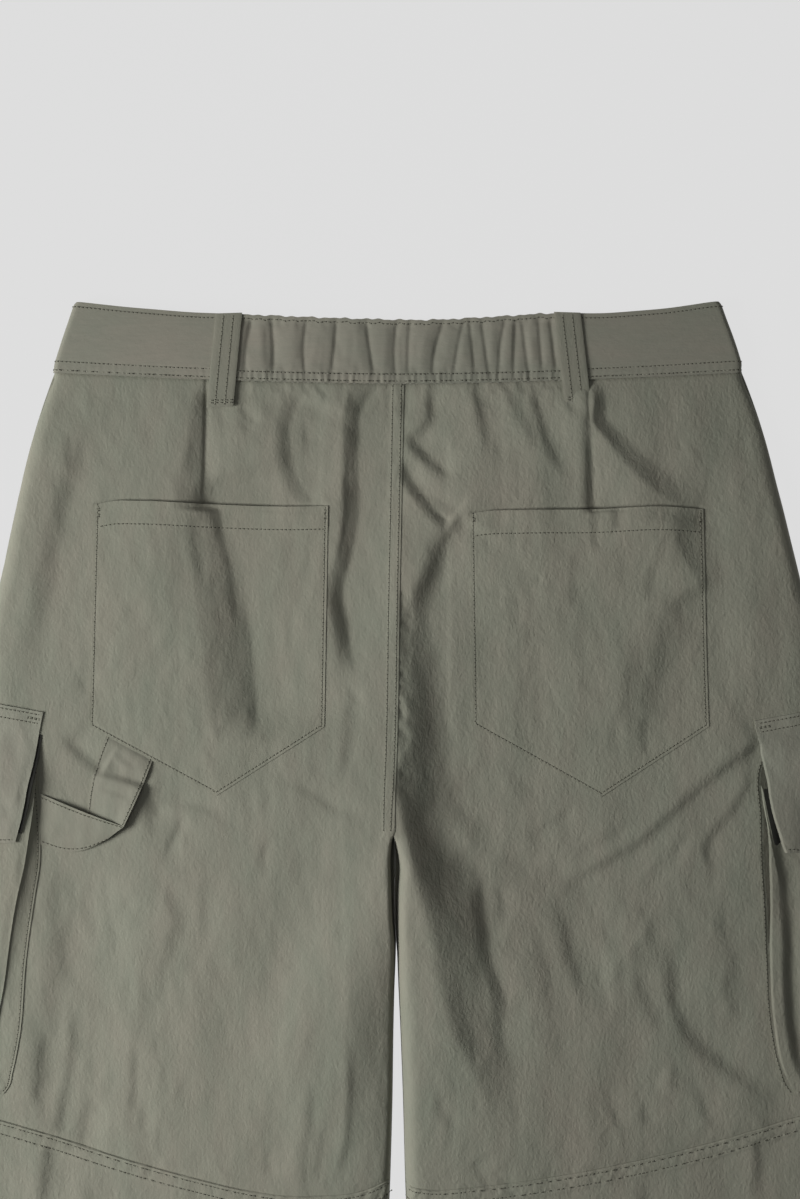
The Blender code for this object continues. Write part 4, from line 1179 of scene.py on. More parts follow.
def elastic_relief(x, y):
    """Folds of the gathered band: listed ones between the edges, finer ones near the seam and
    near the top edge, and faint ones between."""
    low, high = waist_seam(x), band_top(x)
    relief = np.zeros_like(x)

    def add(fall, width, rest, fade_in, fade_out, path, step=4.0):
        nonlocal relief
        relief += fold_height(x, y, ("crease", fall, width, rest, fade_in, fade_out, path), step)

    for top, middle, bottom, fall, core in ELASTIC_FOLDS:
        path = ((top + 1.8, 542), (middle + 1.8, 521), (bottom + 1.8, 498))
        add(0.62 * fall, 2.4 * core, 13, 0.12, 0.2, path)
        add(0.55, 1.5, 2.2, 0.08, 0.14, path)
    fine = np.random.default_rng(51)
    for place in np.arange(-101, 104, 3.4):
        place = place + fine.uniform(-1.2, 1.2)
        length = fine.uniform(6, 17)
        lean = fine.uniform(-2.5, 2.5)
        add(fine.uniform(0.3, 0.9), 2.6, 4, 0, 0.7, ((place, 498), (place + lean, 500 + length)))
        path = ((place + 1.5, 542), (place + 1.5 - lean, 541 - 0.6 * length))
        add(fine.uniform(0.2, 0.7), 2.4, 4, 0, 0.7, path)
    for place in np.arange(-99, 103, 5.3):
        place = place + fine.uniform(-2, 2)
        lean = fine.uniform(-3.5, 3.5)
        start, end = 500 + fine.uniform(0, 14), 541 - fine.uniform(0, 12)
        add(fine.uniform(0.1, 0.45), 4, 6, 0.3, 0.3, ((place, start), (place + lean, end)), 6.0)
    share = (y - low) / (high - low)
    calm_ends = 0.45 + 0.55 * smooth_ramp(share, 0.08, 0.3)
    return relief * calm_ends * (0.35 + 0.65 * smooth_ramp(1 - share, 0.02, 0.14))


def band_height(x, y):
    """Height of the band's back: raised a little along its stitched seam and its top edge."""
    low, high = waist_seam(x), band_top(x)
    share = (y - low) / (high - low)
    height = BAND_TOP_Z + 0.4 * np.sin(np.pi * np.clip(share, 0, 1))
    for row in BAND_ROWS:
        height -= 0.16 * groove(y - low - row)
    height -= 0.14 * groove(high - 2.6 - y)
    height += 0.45 * puckers(x, y - low, 52, 3.2, 0.5, 0.4, 6.0)
    return height


on_elastic = standing(lambda x, y: band_height(x, y) + 0.4 + elastic_relief(x, y))
band_shares = graded(1.0, 0.016, 0.030)[::-1, None]
elastic_x = np.arange(BAND_JOINS["left"] + 0.1, BAND_JOINS["right"], 1.0)
elastic_low, elastic_high = waist_seam(elastic_x), band_top(elastic_x)
elastic_y = elastic_low + band_shares * (elastic_high - elastic_low)
elastic_grid = on_elastic(elastic_x + 0 * elastic_y, elastic_y)
elastic = wall_mesh("waistband_back", elastic_grid, BAND_WALL, band_cloth)
elastic_rows = [laid(on_elastic, elastic_x, row_y)
                for row_y in (elastic_low + 1.5, elastic_low + 5.8, elastic_high - 2.6)]
elastic_stitches = stitches("stitches_waistband_back", elastic_rows)
sewn_in(elastic, "band_cloth", "waistband_back", flat=(0.270, 0.042), held="gathered",
        rests_on=["waistband_left", "waistband_right"], with_pieces=[elastic_stitches])
BAND_RADIUS = 0.5 * (BAND_TOP_Z - BAND_BOTTOM_Z)
BAND_QUARTER = 0.5 * np.pi * BAND_RADIUS
BAND_MIDDLE_Z = 0.5 * (BAND_TOP_Z + BAND_BOTTOM_Z)


def band_outer(share):
    """Distance of the band's side fold from the middle, from its seam at 0 to its top edge at 1."""
    return BAND_BOTTOM_HALF + share * (BAND_TOP_HALF - BAND_BOTTOM_HALF)


def band_skin(side, around, share):
    """The outer face of a band's smooth end. Around runs from the side fold, inwards over the back
    where it is positive and inwards over the front where it is negative."""
    turn = np.clip(np.abs(around) / BAND_RADIUS, 0, np.pi / 2)
    inward = BAND_RADIUS * (1 - np.cos(turn)) + np.maximum(np.abs(around) - BAND_QUARTER, 0)
    belly = smooth_ramp(share, -0.05, 0.16) - 0.5 * smooth_ramp(share, 0.3, 1.0)
    outer = band_outer(share) + (2.7 if side > 0 else 1.2) * belly
    outer = outer - 1.2 * np.maximum(0, (share - 0.93) / 0.07) ** 2
    x = side * (outer - inward)
    y = waist_seam(x) + share * (band_top(x) - waist_seam(x))
    is_back = around >= 0
    rise = np.where(is_back, band_height(x, y) - BAND_MIDDLE_Z, -BAND_RADIUS)
    y = y - np.where(is_back, 0, FRONT_DIP * np.maximum(0, 1 - (x / outer) ** 2))
    return np.stack([x, y, BAND_MIDDLE_Z + rise * np.sin(turn)], axis=-1)


BAND_HEIGHT = 42.0
# the way round the side fold that the stitches go, from over the front to over the back
BAND_RUN = np.arange(-203.0, 101.0)
fold_turn = BAND_RADIUS * np.linspace(0, np.pi / 2, 6)
for name, side in SIDES.items():
    # the ends pass under the belt loops at the back and meet in the middle at the front
    fold_x = band_outer(band_shares) + BAND_QUARTER - BAND_RADIUS
    back_end = fold_x - abs(BAND_JOINS[name])
    front_end = fold_x - 0.2
    around = np.concatenate([
        (BAND_QUARTER + (back_end - BAND_QUARTER) * np.linspace(0, 1, 58)[1:])[:, ::-1],
        fold_turn[::-1] + 0 * band_shares,
        -fold_turn[1:] + 0 * band_shares,
        -(BAND_QUARTER + (front_end - BAND_QUARTER) * np.linspace(0, 1, 76)[1:]),
    ], axis=1)
    grid = band_skin(side, around, band_shares + 0 * around)
    piece = wall_mesh(f"waistband_{name}", grid[:, ::side], BAND_WALL, band_cloth)
    lines = []
    for above in (*BAND_ROWS, 39.0):
        end_skin = (lambda a, b, side=side: band_skin(side, a, b / BAND_HEIGHT))
        points, normals = laid(end_skin, BAND_RUN, above + 0 * BAND_RUN)
        lines.append((points, normals * (-side)))
    band_stitches = stitches(f"stitches_waistband_{name}", lines)
    sewn_in(piece, "band_cloth", f"waistband_{name}", flat=(0.318, 0.042), held="folded",
            with_pieces=[band_stitches])

# ------------------------------------------------------------------------------------------------
# Belt loops: narrow strips folded in three and stitched twice along their length, tacked over the
# band's top edge and on the panel below it. The two at the back stand proud of the band.
# ------------------------------------------------------------------------------------------------
loop_cloth = cloth_finish("loop_cloth", (0.200, 0.198, 0.156), crinkle=0.6)
LOOP_WIDTH = 16.6
LOOP_WALL = 1.0
# middle of the top end and of the low end
LOOP_ENDS = {
    "left": ((-105.0, 543.3), (-110.6, 484.8)),
    "right": ((106.3, 543.8), (113.1, 486.4)),
}
# height over the band from the top end at 0 to the low end at 1
LOOP_BOW = ((0, 0.0), (0.06, 0.2), (0.25, 0.4), (0.5, 0.5), (0.68, 0.3), (0.8, -0.3), (0.9, -0.7),
            (1.02, -1.0))
LOOP_ROWS = (-3.2, 2.9)


def loop_surface(name):
    """A loop as a surface of the place across it and down it, both in millimetres: it bows up over
    the band, then drops to the panel."""
    (top_x, top_y), (low_x, low_y) = LOOP_ENDS[name]
    length = math.hypot(top_x - low_x, top_y - low_y)

    def surface(across, down):
        share = down / length
        x = top_x + (low_x - top_x) * share + across
        y = top_y + (low_y - top_y) * share - 0.03 * across * SIDES[name]
        z = BAND_TOP_Z + 1.3 + through(LOOP_BOW, share) - 0.3 * (2 * across / LOOP_WIDTH) ** 8
        return np.stack([x, y, z], axis=-1)

    return surface, length


for name in SIDES:
    surface, length = loop_surface(name)
    across, down = np.meshgrid(graded(LOOP_WIDTH, 0.6, 1.3) - LOOP_WIDTH / 2, graded(length, 0.6, 1.2))
    piece = wall_mesh(f"belt_loop_back_{name}", surface(across, down), LOOP_WALL, loop_cloth)
    run = np.arange(1.0, length - 1)
    tack = np.arange(-LOOP_WIDTH / 2 + 0.8, LOOP_WIDTH / 2 - 0.6, 0.5)
    rows = [laid(surface, np.full_like(run, place), run) for place in LOOP_ROWS]
    rows += [laid(surface, tack, np.full_like(tack, length - above)) for above in (2.6, 4.2)]
    lines = [(points, -normals) for points, normals in rows]
    loop_stitches = stitches(f"stitches_belt_loop_back_{name}", lines)
    sewn_in(piece, "loop_cloth", f"belt_loop_back_{name}", flat=(LOOP_WIDTH * METRES, 0.060),
            held="stretched", rests_on=["waistband_back"], with_pieces=[loop_stitches])

FRONT_LOOP_Z = 0.25
for name in SIDES:
    low, high = (1000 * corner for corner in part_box(f"belt_loop_front_{name}"))
    middle, length = (low.x + high.x) / 2, high.y - low.y
    across, down = np.meshgrid(graded(LOOP_WIDTH, 0.8, 1.6) - LOOP_WIDTH / 2, graded(length, 0.8, 1.6))
    z = FRONT_LOOP_Z + 0.1 * (2 * across / LOOP_WIDTH) ** 6
    grid = np.stack([middle - across, high.y - down, z], axis=-1)
    piece = wall_mesh(f"belt_loop_front_{name}", grid, 0.7, loop_cloth)
    lines = []
    for place in LOOP_ROWS:
        run = np.arange(high.y - 1, low.y + 1, -1.0)
        points = np.stack([middle + place + 0 * run, run, FRONT_LOOP_Z + 0 * run], axis=-1)
        lines.append((points, np.broadcast_to((0.0, 0.0, -1.0), points.shape)))
    loop_stitches = stitches(f"stitches_belt_loop_front_{name}", lines)
    sewn_in(piece, "loop_cloth", f"belt_loop_front_{name}", flat=(LOOP_WIDTH * METRES, 0.059), held="laid",
            with_pieces=[loop_stitches])

# ------------------------------------------------------------------------------------------------
# Back pockets: patches with a pointed bottom, edges turned in and stitched once all round, and a
# hem at the open top held by one row. A bartack closes each top corner.
# ------------------------------------------------------------------------------------------------
pocket_cloth = cloth_finish("pocket_cloth", (0.213, 0.2135, 0.167))
POCKET_WALL = 0.35
POCKET_CLEAR = 0.10
POCKET_HEM = 14.5
POCKET_INSET = 1.9
POCKET_DEEP = 178


def edge_distance(x, y, corners):
    """Distance of plan places from the nearest side of an outline."""
    nearest = np.full(x.shape, 1e9)
    for (x0, y0), (x1, y1) in zip(corners, corners[1:]):
        share = ((x - x0) * (x1 - x0) + (y - y0) * (y1 - y0)) / ((x1 - x0) ** 2 + (y1 - y0) ** 2)
        share = np.clip(share, 0, 1)
        nearest = np.minimum(nearest, np.hypot(x - x0 - share * (x1 - x0), y - y0 - share * (y1 - y0)))
    return nearest


def inset_outline(corners, distance):
    """An open outline moved to the right of its direction of travel, mitred at its corners."""
    corners = np.array(corners, float)
    run = np.diff(corners, axis=0)
    run /= np.hypot(*run.T)[:, None]
    right = np.stack([run[:, 1], -run[:, 0]], axis=1)
    moved = [corners[0] + distance * right[0]]
    for k in range(1, len(corners) - 1):
        mitre = right[k - 1] + right[k]
        moved.append(corners[k] + distance * mitre / (0.5 * mitre @ mitre))
    moved.append(corners[-1] + distance * right[-1])
    return np.array(moved)


def straight_path(corners, step=0.5):
    """Points a step apart along straight lines between corners."""
    corners = np.array(corners, float)
    along = np.concatenate([[0], np.cumsum(np.hypot(*np.diff(corners, axis=0).T))])
    at = np.linspace(0, along[-1], int(along[-1] / step))
    return np.stack([np.interp(at, along, corners[:, k]) for k in (0, 1)], axis=1)


for name, side in SIDES.items():
    top, low_right, tip, low_left = POCKETS[name]
    closed_edges = (top[-1], low_right, tip, low_left, top[0])

    def pocket_height(x, y, side=side, top=top, closed_edges=closed_edges):
        """Height of the pocket's outer face: the back's, plus the wall, a slack belly and its hem."""
        inside = edge_distance(x, y, closed_edges)
        from_top = through(top, x) - y
        belly = smooth_ramp(inside, 3, 34) * (0.45 + 0.35 * smooth_ramp(80 - from_top, 0, 70))
        hem = 0.25 * (1 - smooth_ramp(from_top, POCKET_HEM, POCKET_HEM + 1.6))
        mouth = 0.5 * (1 - smooth_ramp(from_top, 0, 10)) * smooth_ramp(inside, 2, 20)
        rows = 0.10 * groove(inside - POCKET_INSET) + 0.18 * groove(from_top - POCKET_HEM, 0.9)
        return leg_height(side, x, y) + POCKET_CLEAR + POCKET_WALL + belly + hem + mouth - rows

    width = top[-1][0] - top[0][0]
    tip_share = (tip[0] - low_left[0]) / (low_right[0] - low_left[0])
    cut = graded(width, 0.45, 1.45) / width
    cut[np.argmin(np.abs(cut - tip_share))] = tip_share
    down = graded(POCKET_DEEP, 0.45, 1.45)[:, None] / POCKET_DEEP
    top_x = top[0][0] + cut * width
    top_y = through(top, top_x)
    low_x = low_left[0] + cut * (low_right[0] - low_left[0])
    low_y = np.interp(low_x, (low_left[0], tip[0], low_right[0]), (low_left[1], tip[1], low_right[1]))
    x = top_x + (low_x - top_x) * down
    y = top_y + (low_y - top_y) * down
    on_pocket = standing(pocket_height)
    piece = wall_mesh(f"back_pocket_{name}", on_pocket(x, y), POCKET_WALL, pocket_cloth)
    lines = [laid(on_pocket, *straight_path(inset_outline(closed_edges, POCKET_INSET)).T)]
    hem_x = np.arange(top[0][0] + 2.2, top[-1][0] - 2, 1.0)
    lines.append(laid(on_pocket, hem_x, through(top, hem_x) - POCKET_HEM))
    for corner_x in (top[0][0] + 2.2, top[-1][0] - 2.2):
        for shift in (0.0, 0.7):
            tack_y = np.arange(through(top, np.array([corner_x]))[0] - 1.2, 412, -0.5)[:16]
            lines.append(laid(on_pocket, np.full_like(tack_y, corner_x + shift), tack_y))
    pocket_stitches = stitches(f"stitches_back_pocket_{name}", lines)
    sewn_in(piece, "pocket_cloth", f"back_pocket_{name}", flat=(0.147, 0.182), held="laid", area=0.0236,
            rests_on=[f"back_{name}"], with_pieces=[pocket_stitches])

# ------------------------------------------------------------------------------------------------
# Tool loop: a wide strip, sewn into the left pocket's lower edge and into the cargo pocket's seam.
# It hangs down, turns at a corner and goes back to the side, so that a hammer's handle fits in it.
# ------------------------------------------------------------------------------------------------
TOOL_WALL = 0.7
# corners as plan places with the height above the back: top left, top right, low right, low left
TOOL_UPPER = ((-180.8, 281.0, 0.0), (-151.9, 265.5, 0.0), (-170.0, 223.2, 4.2), (-193.4, 231.0, 0.95))
TOOL_LOWER = ((-224.6, 244.2, 0.45), (-170.0, 223.0, 5.2), (-181.0, 214.6, 2.4), (-223.8, 212.0, 0.45))
# fall, width, rest, fade at the start and at the end, and path of each crease
TOOL_CREASES = (
    (3.2, 4.0, 9, 0.2, 0.1, ((-196, 264), (-184, 258), (-172, 254), (-150, 247))),
    (0.8, 3, 5, 0.2, 0.2, ((-178, 272), (-171, 265), (-162, 260))),
    (0.8, 3, 6, 0.3, 0.2, ((-188, 248), (-176, 244), (-164, 240))),
)
TOOL_LOWER_CREASE = (1.0, 7, 9, 0.2, 0.4, ((-224, 214), (-208, 217), (-192, 222)))


def between(corners, across, down):
    """x, y and height of points between four corners."""
    top_left, top_right, low_right, low_left = np.array(corners)
    top = top_left + (top_right - top_left) * across[..., None]
    low = low_left + (low_right - low_left) * across[..., None]
    return np.moveaxis(top + (low - top) * down[..., None], -1, 0)


def tool_upper(across, down):
    """The hanging part: across and down are shares. It stands off the leg towards its free edge."""
    x, y, stands = between(TOOL_UPPER, across, down)
    bow = np.sin(np.pi * np.clip(down, 0, 1))
    x = x - 2.6 * bow * (1 - across) + 0.8 * bow * across
    puff = 1.6 * bow * smooth_ramp(across, 0, 0.9) + 1.0 * bow * np.sin(np.pi * np.clip(across, 0, 1))
    puff += 0.8 * smooth_ramp(across, 0.7, 1.0) * smooth_ramp(down, 0.05, 0.3)
    creases = sum(fold_height(x, y, ("crease", *crease), 4.0) for crease in TOOL_CREASES)
    below_seam = smooth_ramp(down, 0.0, 0.10)
    stands = stands + 0.9 * below_seam * (1 - down) + puff + 0.8 * creases
    z = leg_height(-1, x, y) + np.maximum(stands, 0.05 + 0.85 * below_seam)
    return np.stack([x, y, z], axis=-1)


def tool_lower(across, down):
    """The part that goes back to the side: its upper edge stands off the leg."""
    x, y, stands = between(TOOL_LOWER, across, down)
    bow = np.sin(np.pi * np.clip(across, 0, 1))
    y = y - 6.4 * bow * down - 0.8 * bow * (1 - down)
    crease = fold_height(x, y, ("crease", *TOOL_LOWER_CREASE), 4.0)
    z = leg_height(-1, x, y) + stands + 0.9 * bow * (1 - down) + 0.5 * crease
    return np.stack([x, y, z], axis=-1)


tool_share = graded(1.0, 0.014, 0.030)
row_share = np.linspace(0.02, 0.98, 90)
for part, surface, row_places, flat, area in (
    ("tool_loop", tool_upper, (0.05, 0.95), (0.030, 0.046), 0.00118),
    ("tool_loop_lower", tool_lower, (0.07, 0.93), (0.056, 0.036), 0.00122),
):
    piece = wall_mesh(part, surface(*np.meshgrid(tool_share, tool_share)), TOOL_WALL, loop_cloth)
    lines = []
    for place in row_places:
        along_edge = (np.full_like(row_share, place), row_share)
        points, normals = laid(surface, *(along_edge if surface is tool_upper else along_edge[::-1]), 0.01)
        lines.append((points, -normals))
    tool_stitches = stitches(f"stitches_{part}", lines)
    sewn_in(piece, "loop_cloth", "tool_loop", flat=flat, held="folded", area=area, rests_on=["back_left"],
            with_pieces=[tool_stitches])

# ------------------------------------------------------------------------------------------------
# Cargo pockets: on each side a bellows strip sewn to the leg, a face panel sewn to the strip and a
# flap over its mouth. They wrap round the side seam; their back edges gape a little.
# ------------------------------------------------------------------------------------------------
flap_cloth = cloth_finish("flap_cloth", (0.226, 0.2255, 0.180), crinkle=0.8)
ROLL_SIDE = 22.0
QUARTER = 0.5 * np.pi * ROLL_SIDE
FRONT_QUARTER = 0.5 * np.pi * FRONT_FOLD
# back edges from top to bottom, as distance from the middle of the garment
BELLOWS_EDGES = {
    "left": ((272, 227.5), (264, 224.4), (244, 223.8), (222, 222.8), (195, 223.4), (187, 224.7), (140, 231.3),
             (90, 235.6), (70, 239.6), (60, 242.4), (56, 245.5)),
    "right": ((272, 231.0), (266, 228.0), (261, 225.8), (229, 225.6), (197, 226.3), (176, 227.5),
              (140, 228.8), (98, 231.3), (72, 236.8), (62, 240.4), (56, 245.0)),
}
FACE_EDGES = {
    "left": ((272, 226.0), (256, 224.8), (245, 225.4), (230, 227.2), (217, 229.2), (200, 231.8), (180, 236.2),
             (160, 239.8), (140, 242.6), (123, 245.0), (107, 248.0), (80, 252.0), (56, 256.0)),
    "right": ((272, 227.0), (244, 227.6), (221, 231.3), (197, 232.3), (176, 232.6), (140, 232.2),
              (98, 234.4), (72, 240.0), (56, 248.0)),
}
FLAP_EDGES = {
    "left": ((294, 220.8), (287, 222.2), (265, 226.0), (245, 230.1), (231, 232.7), (213, 237.4)),
    "right": ((288, 223.6), (277, 225.6), (262, 228.6), (250, 231.2), (240, 232.5), (225, 235.6),
              (207, 241.2)),
}
# top of the flap and of the bellows, top of the face, and low edge of the flap, by y
CARGO_ROWS = {"left": (294.0, 266.0, 256.0, 213.0), "right": (288.5, 272.0, 249.0, 207.0)}
CARGO_LOW = 56.0
POCKET_FRONT_END = 118.0
BELLOWS_ROW = 1.6
CREST = 3.6
ROUNDED_WIDTH = 1.4
# how high the left face's back edge stands off the leg, which the strip climbs to, by y
STRIP_RISE = ((272, 0.6), (256, 1.6), (245, 2.4), (230, 3.2), (215, 3.3), (200, 3.1), (180, 2.9), (160, 2.3),
              (140, 1.8), (120, 1.2), (100, 0.8), (80, 0.5), (56, 0.0))


def leg_skin(side, around, y):
    """The leg's outer face as a surface: around is the way from the side fold in mm, over the back
    where it is positive and over the front where it is negative."""
    turn = np.clip(around / ROLL_SIDE, 0, np.pi / 2)
    front_turn = np.clip(-around / FRONT_FOLD, 0, np.pi / 2)
    over_back = ROLL_SIDE * (1 - np.cos(turn)) + np.maximum(around - QUARTER, 0)
    over_front = FRONT_FOLD * (1 - np.cos(front_turn)) + np.maximum(-around - FRONT_QUARTER, 0)
    x = side * (outer_x(side, y) - np.where(around >= 0, over_back, over_front))
    seam = SEAM_HEIGHT + side_lift(y)
    back = seam + (cloth_height(x, y) - seam) * np.sin(turn)
    front = seam + (front_lift(side, x, y) - seam) * np.sin(front_turn)
    return np.stack([x, y + 0 * x, np.where(around >= 0, back, front)], axis=-1)


def way_round(side, x_out, y):
    """How far round from the side fold a place on the back is."""
    inward = np.maximum(outer_x(side, y) - x_out, 0.01)
    curved = ROLL_SIDE * np.arccos(1 - np.clip(inward / ROLL_SIDE, 0, 1))
    return np.where(inward < ROLL_SIDE, curved, QUARTER + inward - ROLL_SIDE)


def off_leg(side, around, y, height):
    """A surface that stands that high above the leg's outer face. On the back it follows the leg's
    broad shape and not its crinkles."""
    step = 0.5 + 4.5 * smooth_ramp(around, 8, 22)
    points, normals = laid(lambda a, b: leg_skin(side, a, b), around, y, step)
    return points + normals * np.expand_dims(height, -1) * (-side)


def wrap(side, edge, rows, height_at, mouth=0.0, slant=0.0):
    """A grid that wraps round the side from a back edge, which is a curve of y, to the front. Its top
    row can sag to a mouth that many millimetres deep, just inside the back edge."""
    y = rows[:, None]
    start = way_round(side, through(edge, y), y)
    # columns are closest at the back edge, where the cloth is rounded
    step = np.concatenate([np.linspace(0, 0.05, 7), np.linspace(0.064, 0.35, 17), np.linspace(0.375, 1, 22)])
    rim = np.array((0.0, -0.8, -1.6, -2.4, -FRONT_QUARTER))
    over_front = -FRONT_QUARTER - POCKET_FRONT_END * np.linspace(0, 1, 26)[1:]
    around = np.concatenate([start * (1 - step[:-1]), rim + 0 * y, over_front + 0 * y], axis=1)
    inside = start - around
    y = y + slant * np.clip(inside, 0, 40) * smooth_ramp(y, rows[-1], rows[0])
    sag = mouth * smooth_ramp(inside, -0.5, 7) * (1 - 0.75 * smooth_ramp(inside, 8, 24))
    y = y - sag * smooth_ramp(y, rows[-1], rows[0]) ** 2
    return off_leg(side, around, y, height_at(around, y, inside))[:, ::side]


def strip_rise(past_base, y):
    """Height of the left bellows strip over the leg: steeper towards the face's edge, level under it."""
    strip, face = (way_round(-1, through(edges["left"], y), y) for edges in (BELLOWS_EDGES, FACE_EDGES))
    share = np.clip(past_base / np.maximum(strip - face, 1.2), 0, 1)
    return through(STRIP_RISE, y) * (0.3 * share + 0.7 * share**2)


for name, side in SIDES.items():
    flap_top, bellows_top, face_top, flap_low = CARGO_ROWS[name]

    def bellows_height(around, y, inside, side=side):
        """The strip lies flat from its seam on the left leg; on the right its edge is piped and the
        strip falls away from it."""
        if side < 0:
            risen = strip_rise(inside, y) * smooth_ramp(around, 0, 12)
            return 0.6 + risen - 0.10 * groove(inside - BELLOWS_ROW)
        piped = 0.8 * smooth_ramp(y, 105, 165) * (1 - smooth_ramp(inside, 0.6, 4.5))
        return 0.75 + piped * smooth_ramp(around, 4, 24)

    def face_height(around, y, inside, side=side, base=BELLOWS_EDGES[name]):
        """The left face goes on from the strip, a little fuller. The right one has a crest along its
        back edge, which is narrower and lower in its upper part, and then a hollow. Both lie flat at
        the side."""
        back = smooth_ramp(around, 0, 24)
        belly = smooth_ramp(y, 50, 90)
        mouth = 1 - 0.5 * smooth_ramp(y, 232, 268)
        if side < 0:
            past_base = way_round(side, through(base, y), y) - around
            risen = strip_rise(past_base, y)
            return 1.6 + back * (risen + 0.5 * belly * mouth * smooth_ramp(inside, 0.2, 6))
        upper = smooth_ramp(y, 140, 185)
        lower_by = 1.26 * upper
        falls_at = 6.5 - 2.5 * upper
        crest = CREST - lower_by * np.clip(inside / 10, 0, 1)
        crest -= (CREST - lower_by) * smooth_ramp(inside, falls_at, falls_at + 7.5)
        crest += 1.2 * smooth_ramp(inside, 13, 23)
        rounded = 0.7 * (1 - smooth_ramp(inside, 0, ROUNDED_WIDTH))
        return 1.6 + back * belly * (0.3 + mouth * crest - rounded)

    def flap_height(around, y, inside, side=side, top=flap_top, sewn_to=bellows_top - 6):
        """The flap is sewn to the leg at its top and lies over the face below. The left one stands
        off evenly, the right one most at its low corner."""
        back = smooth_ramp(around, 0, 24)
        if side < 0:
            opened = 1 - smooth_ramp(y, 240, 282)
            return 1.0 + opened * (1.7 + back * (4.7 + 0.4 * smooth_ramp(inside, 0, 7)))
        opened = 1 - smooth_ramp(y, sewn_to, top - 3)
        lift = 1.3 + 3.6 * smooth_ramp(top - y, 24, 70) * np.exp(-((inside / 20) ** 2))
        rounded = 0.8 * (1 - smooth_ramp(inside, 0, ROUNDED_WIDTH))
        return 1.0 + 1.7 * opened + back * opened * (1.2 + lift - rounded)

    open_mouth, folded_edge = (38.0, 0.2) if side > 0 else (0.0, -0.15)
    pocket_cut = {"flat": (0.150, 0.217), "area": 0.0310}
    flap_cut = {"flat": (0.160, 0.082), "area": 0.0128}
    # kind, back edge, rows, height, cloth and its slot, wall, bulge, mouth, slant, flat size
    layers = (
        ("cargo_bellows", BELLOWS_EDGES[name], np.linspace(bellows_top, CARGO_LOW, 96), bellows_height,
         pocket_cloth, "pocket_cloth", 0.5, -0.15, 0.0, 0.0, pocket_cut),
        ("cargo_pocket", FACE_EDGES[name], np.linspace(face_top, CARGO_LOW, 96), face_height,
         pocket_cloth, "pocket_cloth", 0.6, folded_edge, open_mouth, 0.0, pocket_cut),
        ("cargo_flap", FLAP_EDGES[name], np.linspace(flap_top, flap_low, 60), flap_height,
         flap_cloth, "flap_cloth", 0.8, folded_edge, 0.0, 0.18, flap_cut),
    )
    for kind, edge, rows, height_at, finish, slot, thickness, bulge, mouth, slant, cut_size in layers:
        grid = wrap(side, edge, rows, height_at, mouth, slant)
        piece = wall_mesh(f"{kind}_{name}", grid, thickness, finish, bulge)
        full = way_round(side, through(edge, rows[:1]), rows[:1])[0] + POCKET_FRONT_END

        def on_layer(inside, y):
            around = way_round(side, through(edge, y), y) - inside
            return off_leg(side, around, y, height_at(around, y, inside))

        def row_at(inside, y):
            """A line on the layer through places that far inside its back edge."""
            points, normals = laid(on_layer, inside, y)
            return points, normals * side

        def row_across(y, first=1.5, last=full, slant=slant):
            inside = np.arange(first, last, 1.0)
            return row_at(inside, y + slant * np.clip(inside, 0, 40))

        if kind == "cargo_flap":
            lines = [row_across(rows[0] - 2.0), row_across(rows[0] - 7.4)]
            lines.append(row_across(rows[-1] + 2.0, slant=0.0))
            lines += [row_across(rows[0] - 4.4, 0.8, 9.0), row_across(rows[0] - 5.2, 0.8, 9.0)]
        elif kind == "cargo_pocket":
            lines = [row_across(rows[-1] + 2.0)]
        else:
            run = np.arange(rows[0] - 2, rows[-1] + 1.5, -1.0)
            lines = [row_at(np.full_like(run, BELLOWS_ROW), run)]
        layer_stitches = stitches(f"stitches_{kind}_{name}", lines)
        sewn_in(piece, slot, f"{kind}_{name}", held="folded", rests_on=[f"back_{name}"],
                with_pieces=[layer_stitches], **cut_size)

# ------------------------------------------------------------------------------------------------
# Painted shade in the cargo pockets: narrow dark sheets put where the gaps lie in deep shade, one
# under the left flap's free edge, and in the right pocket one in its mouth and a less dark one in its open
# pleat.
# ------------------------------------------------------------------------------------------------
# both colours are painted shade: near black for the deep shade in the gaps, dark grey for the shade in the
# right pleat
painted_black_shade_cloth = cloth_finish("painted_shade_black", (0.014, 0.014, 0.011), crinkle=0.5)
painted_pleat_shade_cloth = cloth_finish("painted_shade_pleat", (0.085, 0.083, 0.062), crinkle=1.4)
SHADE_SHEET_WALL = 0.35
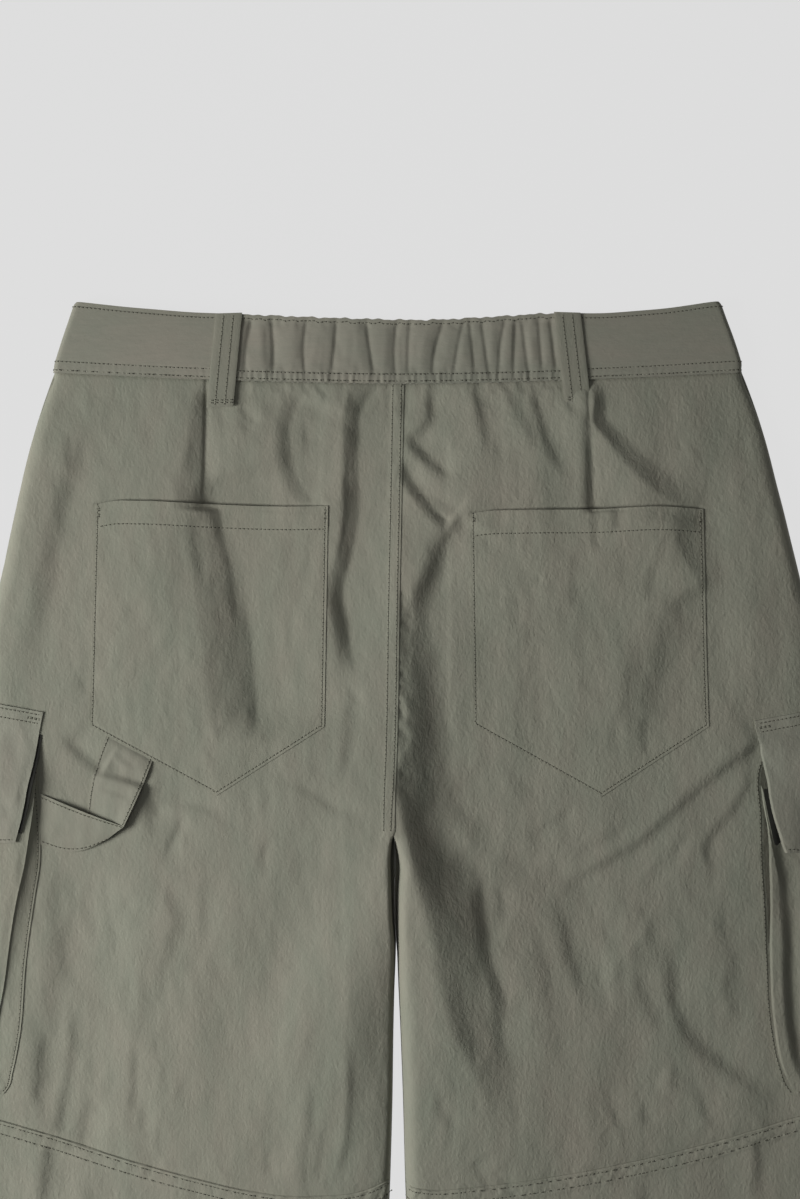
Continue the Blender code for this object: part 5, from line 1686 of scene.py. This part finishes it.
# side, name, cloth, height, then y, distance of the outer edge and width, from top to bottom
SHADE_SHEETS = (
    ("left", "cargo_shade_sheet_left", painted_black_shade_cloth, 6.5,
     ((280, 221.5, 10.5), (262, 224.2, 10.5), (250, 226.4, 10.5), (235, 229.4, 10.5), (219, 233.6, 10.5))),
    ("right", "cargo_shade_sheet_right", painted_black_shade_cloth, 1.0,
     ((246, 229.6, 4.0), (240, 229.8, 9.0), (225, 230.5, 12.0), (208, 233.5, 12.0), (202, 235.0, 8.0))),
    ("right", "cargo_pleat_shade_sheet_right", painted_pleat_shade_cloth, 0.9,
     ((262, 226.2, 10.5), (245, 226.4, 10.5), (200, 227.2, 10.5), (165, 228.8, 10.5), (150, 229.4, 10.5))),
)
for name, piece_name, finish, height, outline in SHADE_SHEETS:
    side = SIDES[name]
    places, edges, widths = np.array(outline[::-1]).T
    rows = np.linspace(places[-1], places[0], 48)[:, None]
    width = np.interp(rows, places, widths)
    around = way_round(side, np.interp(rows, places, edges) + width * np.linspace(0, 1, 12), rows)
    opened = 1 - smooth_ramp(rows, 240, 282) if side < 0 else 1.0
    grid = off_leg(side, around, rows + 0 * around, (height - 0.3) * opened + 0.3 + 0 * around)
    piece = wall_mesh(piece_name, grid[:, ::side], SHADE_SHEET_WALL, finish)
    flat = (round(METRES * float(width.max()), 4), round(METRES * float(places[-1] - places[0]), 4))
    sewn_in(piece, "pocket_cloth", f"cargo_bellows_{name}", flat=flat, held="laid", rests_on=[f"back_{name}"])

# ------------------------------------------------------------------------------------------------
# Waist button: a matt plastic button with a raised rim, sewn on the band's front
# end, and under the garment as it lies. Its four holes are not modelled.
# ------------------------------------------------------------------------------------------------
button_low, button_high = (1000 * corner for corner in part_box("waist_button"))
BUTTON_RADIUS = 0.5 * (button_high.x - button_low.x)
BUTTON_SIDES = 48
# distance from the middle as a share of the radius, and height in mm, from the underside's middle
BUTTON_PROFILE = np.array((
    (0.001, 0.35), (0.45, 0.35), (0.62, 0.32), (0.70, 0.12), (0.86, 0.02), (0.96, 0.12), (1.0, 0.45),
    (0.99, 0.85), (0.94, 1.12), (0.86, 1.2), (0.001, 1.2),
))
button_finish = Finish("button_plastic", (0.060, 0.058, 0.045), roughness=0.45, specular=0.4)
button_cloud = button_finish.noise(button_finish.place(), (3.0, 3.0, 3.0), detail=3.0)
button_tone = button_finish.ramp(button_cloud, -0.3, 0.3)
button_colour = button_finish.blend(button_tone, (0.050, 0.048, 0.037), (0.072, 0.069, 0.054))
button_finish.feed("Base Color", button_colour)
turns = np.linspace(0, 2 * np.pi, BUTTON_SIDES + 1)[:-1]
rings, heights = BUTTON_PROFILE[:, :1] * BUTTON_RADIUS, BUTTON_PROFILE[:, 1:]
button_points = np.stack([
    rings * np.cos(turns) + 0.5 * (button_low.x + button_high.x),
    rings * np.sin(turns) + 0.5 * (button_low.y + button_high.y),
    heights + button_low.z + 0 * turns,
], axis=-1).reshape(-1, 3) * METRES
ring_index = np.arange(len(BUTTON_PROFILE) * BUTTON_SIDES).reshape(-1, BUTTON_SIDES)
after = np.roll(ring_index, -1, axis=1)
button_faces = np.stack([ring_index[:-1], ring_index[1:], after[1:], after[:-1]], axis=-1).reshape(-1, 4)
button = new_piece("waist_button", button_points, button_faces, button_finish.material)
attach(button, "root")
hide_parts("waist_button")
